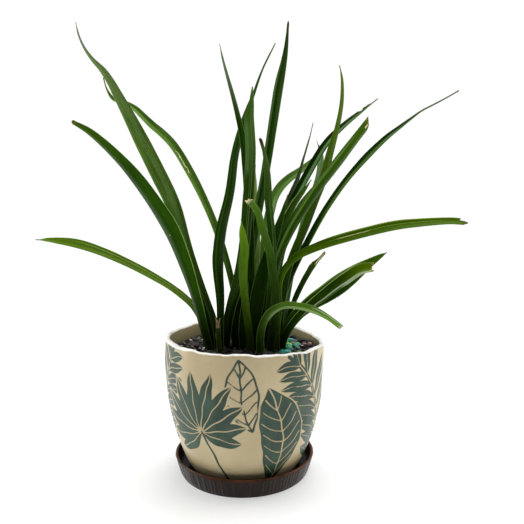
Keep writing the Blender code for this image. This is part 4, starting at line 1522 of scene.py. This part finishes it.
    def frond(self, base: Point, bow: Point, tip: Point, length: float) -> None:
        """A fern frond: pointed leaflets in pairs along a bowed stem.

        Args:
            base: Where the stem starts.
            bow: The point that it bows towards.
            tip: Where it ends.
            length: The longest leaflet.
        """
        last = self.frond_pairs + 1
        stem = self.bowed(base, bow, tip, last + 1)
        for i in range(1, last):
            t = i / last
            place, run = np.array(stem[i]), np.subtract(stem[i + 1], stem[i - 1])
            heading = math.atan2(run[1], run[0])
            size = length * math.sin(math.pi * (0.16 + 0.76 * t)) ** 0.8
            for hand in (-1, 1):
                angle = heading + hand * math.radians(64 - 24 * t)
                end = place + size * np.array((math.cos(angle), math.sin(angle)))
                shape, rib = self.lens(stem[i], tuple(end), self.leaflet_width - 1.3 * t, hand * -1.4)
                self.fill(shape, rib + 0.1)
        self.fill(self.lens(stem[-2], stem[-1], 2.4, 0.0)[0])
        self.fill(self.stroke(stem) - 1.5, self.stroke(stem[:-1]))

    def fan(self, hub: Point, heading: float, length: float, foot: Point) -> None:
        """A fan palm leaf: pointed fingers that spread from one place on a stalk.

        Args:
            hub: Where the fingers meet.
            heading: Which way the middle one points, in degrees.
            length: The middle finger's length.
            foot: Where the stalk starts.
        """
        fingers = []
        for share in np.linspace(-1.0, 1.0, self.fan_fingers):
            angle = math.radians(heading + self.fan_spread * share)
            size = length * (1.0 - 0.28 * share * share)
            end = (hub[0] + size * math.cos(angle), hub[1] + size * math.sin(angle))
            fingers.append(self.lens(hub, end, self.finger_width, 1.5 * share))
        self.clear(np.minimum.reduce([shape for shape, _ in fingers]))
        for shape, rib in fingers:
            self.fill(shape, rib)
        bow = ((hub[0] + foot[0]) / 2 - 3, (hub[1] + foot[1]) / 2)
        self.line = np.minimum(self.line, self.stroke(self.bowed(hub, bow, foot, 6)) - 0.3)

    def sprig(self, base: Point, tip: Point, length: float) -> None:
        """A small sprig: round solid leaves in pairs on a thin stalk.

        Args:
            base: Where the stalk starts.
            tip: Where it ends.
            length: The length of a leaf.
        """
        width = self.sprig_leaf_width
        bow = ((base[0] + tip[0]) / 2 + 3, (base[1] + tip[1]) / 2)
        stem = self.bowed(base, bow, tip, self.sprig_pairs + 2)
        for i in range(1, self.sprig_pairs + 1):
            run = np.subtract(stem[i + 1], stem[i - 1])
            for hand in (-1, 1):
                angle = math.atan2(run[1], run[0]) + hand * math.radians(52)
                way = np.array((math.cos(angle), math.sin(angle)))
                shape, rib = self.lens(tuple(stem[i] + way), tuple(stem[i] + way * length), width, 0.0)
                self.fill(shape, np.where(shape < -0.4, rib + 0.25, FAR))
        self.fill(self.lens(stem[-1], (tip[0] - 1, tip[1] + length), width, 0.0)[0])
        self.line = np.minimum(self.line, self.stroke(stem))


@dataclass
class Pot:
    """The hand-built pot: a fine turned bowl, lifted at its rim and pushed about as the plain solid is."""

    height: float = 110.0
    radius: float = 65.3
    taper: float = 24.0
    taper_power: float = 2.8
    wall: float = 4.2
    floor: float = 6.0
    foot_radius: float = 41.0
    foot_round: float = 4.5
    corner_inset: float = 7.0
    corner_round: float = 6.0
    drain_radius: float = 6.0
    wall_from: float = 11.0
    inner_to: float = 19.0
    inner_rows: int = 22
    saucer_height: float = 15.4
    plain_foot: float = 7.4
    rim_reach: float = 40.0
    rim_dip: float = 2.8
    dip_width: float = 20.0
    rim_waves: tuple[Wave, ...] = (Wave(0.3, 11.0, 0.4), Wave(0.25, 19.0, 0.0), Wave(0.14, 37.0, 0.0))
    dent_scale: float = 0.045
    dent_depth: float = 0.7
    columns: int = 560
    row: float = 0.78
    shading_angle: float = 60.0
    glaze: PotGlaze = PotGlaze()

    def outer(self, z: float | np.ndarray) -> float | np.ndarray:
        """Radius of the outside at a height."""
        return self.radius - self.taper * (1.0 - z / self.height) ** self.taper_power

    def rim_rise(self, angle: np.ndarray) -> np.ndarray:
        """How far the rim stands above or below its mean height.

        Args:
            angle: Places round the rim, from the right to the back.

        Returns:
            The rise in millimetres.
        """
        turned = (angle + math.pi) % FULL_TURN - math.pi
        dip = self.rim_dip * np.exp(-((turned / math.radians(self.dip_width)) ** 2))
        return 0.6 - 2.0 * np.cos(angle) + 0.9 * np.sin(angle) - dip + 0.5 * np.cos(5 * angle + 1)

    def uneven(self, angle: np.ndarray) -> np.ndarray:
        """How far the wall is pushed out."""
        return 0.5 * np.cos(2 * angle + 0.7) + 0.25 * np.cos(3 * angle - 0.4)

    def profile(self) -> list[Point]:
        """Draws the wall's closed outline, from the drain hole out and up, over the rim and down inside.

        Returns:
            The (radius, height) points.
        """
        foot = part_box("pot")[0].z / MM
        floor_top = foot + self.floor
        half = self.wall / 2.0
        top = self.height - half
        outline = [(self.drain_radius, foot), (self.foot_radius * 0.6, foot), (self.foot_radius, foot)]
        outline += arc((self.foot_radius, foot + self.foot_round), self.foot_round, -70, -20, 5)
        rows = round((top - self.wall_from) / self.row)
        outline += [(self.outer(z), z) for z in np.linspace(self.wall_from, top, rows)]
        outline += arc((self.outer(self.height) - half, top), half, 15, 165, 9)
        outline += [(self.outer(z) - self.wall, z) for z in np.linspace(top, self.inner_to, self.inner_rows)]
        inner_foot = self.outer(self.inner_to) - self.wall
        corner = (inner_foot - self.corner_inset, floor_top + self.corner_round)
        outline += arc(corner, self.corner_round, -20, -90, 5)
        outline += [(self.foot_radius * 0.5, floor_top), (self.drain_radius, floor_top)]
        return outline

    def build(self) -> None:
        """Makes the pot and dresses it."""
        obj = spun("pot_painted", self.profile(), self.columns)
        x, y, z = points_of(obj).T / MM
        angle, radius = np.arctan2(y, x), np.hypot(x, y)
        outside = radius > self.outer(np.minimum(z, self.height)) - 0.5 * self.wall
        near_rim = np.clip((z - (self.height - self.rim_reach)) / self.rim_reach, 0, 1)
        above_saucer = np.clip((z - self.saucer_height) / self.saucer_height, 0, 1)
        places = np.column_stack((x, y, z)) * self.dent_scale
        dents = (np.array([noise.noise(Vector(place)) for place in places]) - 0.5) * self.dent_depth * outside
        share = 1.0 + above_saucer * (self.uneven(angle) + dents) / radius
        ripple = sum(wave.at(angle) for wave in self.rim_waves)
        lift = self.rim_rise(angle) * near_rim**2 + ripple * near_rim**12
        drawn = Brushwork(self.radius, np.arctan2(x, -y) * self.radius, z + lift)
        hidden = ~outside | (z < self.plain_foot)
        set_points(obj, np.column_stack((x * share, y * share, z + lift)) * MM)
        for name in ("solid", "scratch", "line"):
            set_attribute(obj, name, np.where(hidden, FAR, getattr(drawn, name)))
        set_attribute(obj, "below_lip", self.height - z)
        set_attribute(obj, "inside", ~outside & (z > self.saucer_height))
        smooth(obj, self.shading_angle)
        dress(obj, self.glaze.material(), "cream_glaze", "pot")


@dataclass(frozen=True)
class SaucerGlaze:
    """Finish of the saucer: glossy dark brown glaze, thin and red-brown on ribs and rim."""

    dark: Colour = srgb(14, 7, 4)
    brown: Colour = srgb(46, 25, 13)
    worn: Colour = srgb(108, 60, 36)

    def material(self) -> bpy.types.Material:
        """Builds the glaze. The mesh says how near each point is to the rim and to a rib's crest.

        Returns:
            The material.
        """
        shader = Shader("saucer_glaze")
        upright = shader.position((1.0, 1.0, 0.12))
        crest = shader.attribute("crest")
        rim = shader.attribute("rim")
        patch = shader.cloud(shader.position((1.0, 1.0, 0.3)), 60.0, 4.0).rise(0.3, 0.7)
        streak = shader.cloud(upright, 420.0, 3.0).rise(0.3, 0.7)
        body = shader.mix((crest * 0.55 + streak * 0.45 + patch * 0.2 - 0.1).clamped(), self.dark, self.brown)
        thin = (rim.rise(0.6, 1.0) * (patch * 0.9 + 0.1)).clamped()
        shader.bump(streak * 0.7 + patch * 0.3, 0.3, 0.0004)
        return shader.finish(
            Base_Color=shader.mix(thin, body, self.worn),
            Roughness=(patch * 0.14 + streak * 0.12 + 0.16).clamped(),
            Coat_Weight=0.1,
            Coat_Roughness=0.15,
            Specular_IOR_Level=0.16,
        )


@dataclass
class Saucer:
    """The saucer: a turned dish with narrow upright ribs of uneven depth on its outside."""

    height: float = 15.4
    radius: float = 57.4
    foot_radius: float = 53.0
    floor: float = 4.3
    rim: float = 2.4
    corner_inset: float = 4.0
    corner_round: float = 5.0
    rib_depth: float = 0.42
    rib_foot: Span = (0.5, 3.0)
    rib_head: Span = (1.6, 0.4)
    worn_rim: float = 4.0
    ribs: int = 118
    columns: int = 708
    shading_angle: float = 50.0
    seed: int = 3
    glaze: SaucerGlaze = SaucerGlaze()

    def profile(self) -> list[Point]:
        """Draws the dish's outline from the middle of its underside, out and over its rim to the middle.

        Returns:
            The (radius, height) points.
        """
        half = self.rim / 2.0
        outline = [(0.0, 0.0), (self.foot_radius * 0.7, 0.0), (self.foot_radius - 1.2, 0.0)]
        outline += [(self.foot_radius - 0.3, 0.25), (self.foot_radius, 1.0)]
        wall_top = (self.radius, self.height - half)
        outline += [
            (self.foot_radius + (wall_top[0] - self.foot_radius) * t**0.85, 1.0 + (wall_top[1] - 1.0) * t)
            for t in np.linspace(0.08, 1.0, 12)
        ]
        outline += arc((self.radius - half, self.height - half), half, 18, 180, 9)
        corner = (self.foot_radius - self.corner_inset, self.floor + self.corner_round)
        outline += arc(corner, self.corner_round, 0, -90, 7)
        outline += [(self.foot_radius * 0.5, self.floor), (0.0, self.floor)]
        return outline

    def build(self) -> None:
        """Makes the saucer and dresses it."""
        obj = spun("saucer_fluted", self.profile(), self.columns)
        x, y, z = points_of(obj).T / MM
        angle, radius = np.arctan2(y, x), np.hypot(x, y)
        draw = random.Random(self.seed)
        strengths = np.array([draw.uniform(0.0, 1.0) for _ in range(self.ribs)])
        place = (angle / FULL_TURN % 1.0) * self.ribs
        strength = strengths[np.minimum(place.astype(int), self.ribs - 1)]
        crest = np.abs(np.sin(math.pi * place)) ** 0.7 * strength
        outside = (radius > self.foot_radius - 0.5) & (z > 0.5)
        fade_from, fade_to = (self.height - below for below in self.rib_head)
        upright = eased(z, *self.rib_foot) * (1.0 - eased(z, fade_from, fade_to))
        push = outside * upright * self.rib_depth * (crest - 0.5)
        share = 1.0 + push / np.maximum(radius, 1e-6)
        set_points(obj, np.column_stack((x * share, y * share, z)) * MM)
        set_attribute(obj, "crest", crest * outside)
        worn = np.clip((z - self.height + self.worn_rim) / self.worn_rim, 0, 1)
        set_attribute(obj, "rim", worn * (radius > self.radius - self.worn_rim))
        smooth(obj, self.shading_angle)
        dress(obj, self.glaze.material(), "dark_glaze", "saucer")


class Cut(Enum):
    """How a kind of stone is made: how finely its ball is divided and how near its middle it is cut."""

    CRUMB = (1, 0.7)
    CHIP = (1, 0.45)
    PEBBLE = (2, 0.88)


@dataclass(frozen=True)
class Grit:
    """One kind of stone or chip: its finish, its form and where it lies on the mix."""

    name: str
    first: Colour
    second: Colour
    roughness: float
    count: int
    angles: Span
    radii: Span
    sizes: Span
    stretch: Place
    cut: Cut

    def material(self) -> bpy.types.Material:
        """Builds the finish. The mesh's attribute says how light each stone is.

        Returns:
            The material.
        """
        shader = Shader(self.name)
        shade = shader.attribute("shade")
        where = shader.position()
        mottle = shader.cloud(where, 260.0, 3.0).rise(0.3, 0.7)
        grain = shader.cloud(where, 1100.0, 3.0)
        shader.bump(grain * 0.6 + mottle * 0.4, 0.5, 0.0004)
        lightness = (shade * 0.7 + mottle * 0.35 + grain * 0.2 - 0.1).clamped()
        colour = shader.mix(lightness, self.first, self.second)
        return shader.finish(Base_Color=colour, Roughness=(grain * 0.2 + self.roughness - 0.1).clamped())


ALL_ROUND = (-180.0, 180.0)
EVEN = (1.25, 1.0, 0.85)
GRITS = (
    Grit(
        "grit_black", srgb(10, 9, 10), srgb(54, 50, 48), 0.7, 560, ALL_ROUND, (4, 59), (1.0, 2.4),
        (1.4, 1.0, 0.8), Cut.CRUMB,
    ),
    Grit(
        "bark_brown", srgb(28, 22, 18), srgb(88, 70, 54), 0.8, 150, ALL_ROUND, (20, 59), (0.9, 2.1),
        (1.7, 0.9, 0.7), Cut.CHIP,
    ),
    Grit(
        "chip_tan", srgb(180, 152, 124), srgb(240, 224, 204), 0.7, 26, (125, 235), (38, 58), (1.0, 2.0),
        (1.8, 1.0, 0.7), Cut.CHIP,
    ),
    Grit(
        "perlite_white", srgb(214, 212, 204), srgb(250, 250, 246), 0.8, 22, ALL_ROUND, (20, 58), (0.6, 1.3),
        (1.3, 1.0, 0.8), Cut.CRUMB,
    ),
    Grit(
        "gravel_teal", srgb(2, 60, 62), srgb(44, 168, 142), 0.28, 30, (-32, 44), (26, 47), (2.3, 3.7),
        EVEN, Cut.PEBBLE,
    ),
    Grit(
        "gravel_green", srgb(54, 140, 30), srgb(150, 222, 84), 0.28, 12, (-26, 34), (31, 48), (2.0, 3.0),
        EVEN, Cut.PEBBLE,
    ),
    Grit(
        "gravel_rose", srgb(64, 50, 42), srgb(140, 112, 96), 0.4, 10, (-34, 34), (42, 57), (1.6, 2.6),
        EVEN, Cut.PEBBLE,
    ),
    Grit(
        "gravel_white", srgb(214, 212, 206), srgb(250, 250, 246), 0.4, 5, (-34, 40), (36, 55), (1.2, 1.9),
        EVEN, Cut.PEBBLE,
    ),
)


@dataclass(frozen=True)
class MixFinish:
    """Finish of the damp potting mix between the stones."""

    dark: Colour = srgb(9, 8, 7)
    brown: Colour = srgb(40, 31, 25)

    def material(self) -> bpy.types.Material:
        """Builds a rough, crumbly dark brown.

        Returns:
            The material.
        """
        shader = Shader("damp_mix")
        crumbs = shader.cloud(shader.position(), 480.0, 5.0, 0.7)
        shader.bump(crumbs, 0.9, 0.0012)
        colour = shader.mix(crumbs.rise(0.35, 0.75), self.dark, self.brown)
        return shader.finish(Base_Color=colour, Roughness=(crumbs * 0.2 + 0.78).clamped())


@dataclass
class PottingMix:
    """The filling: a heaped mound with stones and chips bedded in it."""

    level: float = 98.5
    rim_radius: float = 65.0
    heap: float = 3.0
    lump: float = 0.7
    floor_radius: float = 36.0
    wall_heights: tuple[float, ...] = (19, 26, 34, 44, 56, 70, 84, 94)
    rings: int = 46
    columns: int = 176
    gap: float = 0.6
    coarse_scale: float = 0.45
    coarse_height: float = 0.9
    fine_scale: float = 1.1
    fine_height: float = 0.5
    uneven_from: float = 20.0
    shapes: int = 4
    cuts: int = 4
    cut_spread: Span = (0.85, 1.15)
    raised: Span = (0.1, 0.6)
    tilt: float = 0.6
    shading_angle: float = 60.0
    stone_angle: float = 40.0
    seed: int = 21
    finish: MixFinish = MixFinish()

    def top(self, x: float, y: float) -> float:
        """Height of the mix at a place.

        Args:
            x: The place to the right.
            y: The place to the back.

        Returns:
            The height in millimetres.
        """
        radius = math.hypot(x, y)
        heap = self.heap * (0.5 + 0.5 * y / self.rim_radius) * (radius / self.rim_radius)
        ripple = math.cos(0.31 * x + 0.9) + 0.8 * math.cos(0.27 * y - 0.4)
        ripple += 0.6 * math.cos(0.47 * x - 0.38 * y)
        return self.level + heap + self.lump * ripple

    def build(self) -> None:
        """Makes the mound and everything that lies on it."""
        self.mound()
        draw = random.Random(self.seed)
        for grit in GRITS:
            self.strew(grit, draw)

    def mound(self) -> None:
        """Shapes the filling and dresses it."""
        low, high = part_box("soil")
        edge = (high.x - low.x) / 2.0 / MM - self.gap
        floor = low.z / MM
        pot = Pot()
        outline = [(0.0, floor), (self.floor_radius, floor)]
        outline += [(pot.outer(z) - pot.wall - self.gap, z) for z in self.wall_heights]
        outline += [(radius, self.level) for radius in np.linspace(edge, 0.0, self.rings)]
        obj = spun("mix_mound", outline, self.columns)
        points = points_of(obj) / MM
        for i in np.flatnonzero(points[:, 2] > self.level - 0.1):
            x, y, _ = points[i]
            crumb = noise.noise(Vector((x, y, 0.0)) * self.coarse_scale) * self.coarse_height
            crumb += noise.noise(Vector((x, y, 4.0)) * self.fine_scale) * self.fine_height
            points[i, 2] = self.top(x, y) + crumb
        angle = np.arctan2(points[:, 1], points[:, 0])
        share = 1.0 + pot.uneven(angle) / pot.radius
        points[:, :2] *= np.where(points[:, 2] > self.uneven_from, share, 1.0)[:, None]
        set_points(obj, points * MM)
        smooth(obj, self.shading_angle)
        dress(obj, self.finish.material(), "potting_mix", "soil")

    def broken(self, grit: Grit, draw: random.Random) -> bpy.types.Object:
        """Makes one stone: a ball stretched and cut to flat broken faces.

        Args:
            grit: The kind of stone.
            draw: Source of its cuts.

        Returns:
            The stone, at the origin.
        """
        finer, depth = grit.cut.value
        deselect()
        bpy.ops.mesh.primitive_ico_sphere_add(subdivisions=finer, radius=MM, location=(0, 0, 0))
        obj = bpy.context.object
        for _ in range(self.cuts):
            way = Vector(draw.gauss(0.0, 1.0) for _ in range(3)).normalized()
            near = way * depth * draw.uniform(*self.cut_spread) * MM
            edit_all(obj)
            bpy.ops.mesh.bisect(plane_co=near, plane_no=way, use_fill=True, clear_outer=True)
        edit_all(obj)
        bpy.ops.transform.resize(value=grit.stretch)
        bpy.ops.mesh.normals_make_consistent(inside=False)
        bpy.ops.object.mode_set(mode="OBJECT")
        return obj

    def strew(self, grit: Grit, draw: random.Random) -> None:
        """Scatters copies of a few stones of one kind, joined as one piece.

        Args:
            grit: The kind and where it lies.
            draw: Source of their places and turns.
        """
        stones = [self.broken(grit, draw) for _ in range(self.shapes)]
        copies = []
        for i in range(grit.count):
            copy = stones[i % self.shapes].copy()
            copy.data = copy.data.copy()
            copy.data.transform(self.place(grit, draw))
            set_attribute(copy, "shade", np.full(len(copy.data.vertices), draw.random()))
            bpy.context.collection.objects.link(copy)
            copies.append(copy)
        for stone in stones:
            bpy.data.objects.remove(stone)
        pick(copies[0])
        for copy in copies:
            copy.select_set(True)
        bpy.ops.object.join()
        obj = bpy.context.object
        obj.name = grit.name
        smooth(obj, self.stone_angle)
        dress(obj, grit.material(), "potting_mix")

    def place(self, grit: Grit, draw: random.Random) -> Matrix:
        """Draws where a stone lies, how it is turned and how big it is.

        Args:
            grit: The kind of stone.
            draw: Source of the place.

        Returns:
            The placing.
        """
        angle = math.radians(draw.uniform(*grit.angles))
        inner, outer = grit.radii
        radius = math.sqrt(draw.uniform(inner * inner, outer * outer))
        x, y = radius * math.cos(angle), radius * math.sin(angle)
        size = draw.uniform(*grit.sizes)
        bed = self.top(x, y) + size * grit.stretch[2] * draw.uniform(*self.raised)
        turn = Matrix.Rotation(draw.uniform(0.0, FULL_TURN), 4, "Z")
        lean = Matrix.Rotation(draw.uniform(-self.tilt, self.tilt), 4, "Y")
        return Matrix.Translation(Vector((x, y, bed)) * MM) @ turn @ lean @ Matrix.Scale(size, 4)


@dataclass(frozen=True)
class Lamp:
    """A square soft light that hangs at a place and points at a target.

    Both and its side are in metres, and its power is in watts.
    """

    name: str
    place: Place
    power: float
    target: Place = (0.0, 0.0, 0.12)
    side: float = 0.7

    def hang(self) -> None:
        """Hangs the light in the scene."""
        light = bpy.data.lights.new(self.name, "AREA")
        light.size = self.side
        light.energy = self.power
        obj = bpy.data.objects.new(self.name, light)
        obj.location = self.place
        obj.rotation_euler = (Vector(self.target) - Vector(self.place)).to_track_quat("-Z", "Y").to_euler()
        bpy.context.scene.collection.objects.link(obj)


@dataclass(frozen=True)
class Studio:
    """A plain floor that glows a little, soft light from all round, and the photograph's camera.

    The camera's place is in millimetres and everything else in metres.
    """

    floor_size: float = 12.0
    floor_grey: Colour = srgb(190, 190, 188)
    floor_glow: float = 0.5
    focal_pixels: float = 500.0
    image_pixels: float = 524.0
    sensor: float = 36.0
    camera_place: Place = (14.5, -410.0, 198.0)
    pitch_down: float = 3.7
    near_clip: float = 0.01
    sun_from: Place = (0.1, 0.2, 1.0)
    sun_power: float = 2.5
    sun_angle: float = 35.0
    lamps: tuple[Lamp, ...] = (
        Lamp("left_light", (-0.9, 0.15, 0.5), 4.0),
        Lamp("right_light", (0.9, 0.2, 0.5), 3.0),
    )
    tent_front: float = 0.02
    tent_back: float = 0.4
    tent_top: float = 0.18
    tent_side: float = 0.55

    def build(self) -> None:
        """Lays the floor and sets the lights, the world and the camera."""
        self.floor()
        self.world()
        self.sun()
        for lamp in self.lamps:
            lamp.hang()
        self.camera()
        bpy.context.scene.view_settings.view_transform = "Standard"

    def floor(self) -> None:
        """A plain floor that glows a little, like a light table, so that shadows on it stay faint."""
        deselect()
        bpy.ops.mesh.primitive_plane_add(size=self.floor_size, location=(0, 0, 0))
        obj = bpy.context.object
        obj.name = "studio_floor"
        shader = Shader("floor_white")
        shade = shader.cloud(shader.position(), 3.0, 2.0) * 0.02 + 0.5
        obj.data.materials.append(
            shader.finish(
                Base_Color=self.floor_grey,
                Roughness=shade,
                Specular_IOR_Level=0.1,
                Emission_Color=(1.0, 1.0, 1.0),
                Emission_Strength=self.floor_glow,
            )
        )

    def world(self) -> None:
        """A white surround with most light from the sides and behind, as in a tent of white cloth."""
        world = bpy.data.worlds.new("studio")
        world.use_nodes = True
        board = NodeBoard(world.node_tree)
        way = board.node("ShaderNodeTexCoord")
        right, back, up = board.split(Tone(board, way.outputs["Generated"]))
        light = back.rise(-0.4, 0.9) * self.tent_back + up.rise(-0.2, 1.0) * self.tent_top + self.tent_front
        light = light + abs(right).rise(0.45, 1.0) * self.tent_side
        seen = Tone(board, board.node("ShaderNodeLightPath").outputs["Is Camera Ray"])
        background = world.node_tree.nodes["Background"]
        board.feed(background.inputs["Color"], (1.0, 1.0, 1.0))
        board.feed(background.inputs["Strength"], light.most(seen * 1.02))
        bpy.context.scene.world = world

    def sun(self) -> None:
        """A wide soft light from far away, which lights the floor evenly."""
        light = bpy.data.lights.new("top_light", "SUN")
        light.angle = math.radians(self.sun_angle)
        light.energy = self.sun_power
        obj = bpy.data.objects.new("top_light", light)
        obj.rotation_euler = Vector(self.sun_from).to_track_quat("Z", "Y").to_euler()
        bpy.context.scene.collection.objects.link(obj)

    def camera(self) -> None:
        """The photograph's camera, level but for a slight look down."""
        data = bpy.data.cameras.new("photo_camera")
        data.sensor_width = self.sensor
        data.lens = self.sensor * self.focal_pixels / self.image_pixels
        data.clip_start = self.near_clip
        obj = bpy.data.objects.new("photo_camera", data)
        obj.location = tuple(value * MM for value in self.camera_place)
        obj.rotation_euler = (math.radians(90.0 - self.pitch_down), 0.0, 0.0)
        bpy.context.scene.collection.objects.link(obj)
        bpy.context.scene.camera = obj


def main() -> None:
    """Builds the plant from the ground up and then the studio round it."""
    logging.basicConfig(level=logging.INFO, format="%(message)s")
    for assembly in (Saucer(), Pot(), PottingMix(), LeafClump(), Studio()):
        assembly.build()


if __name__ == "__main__":
    main()
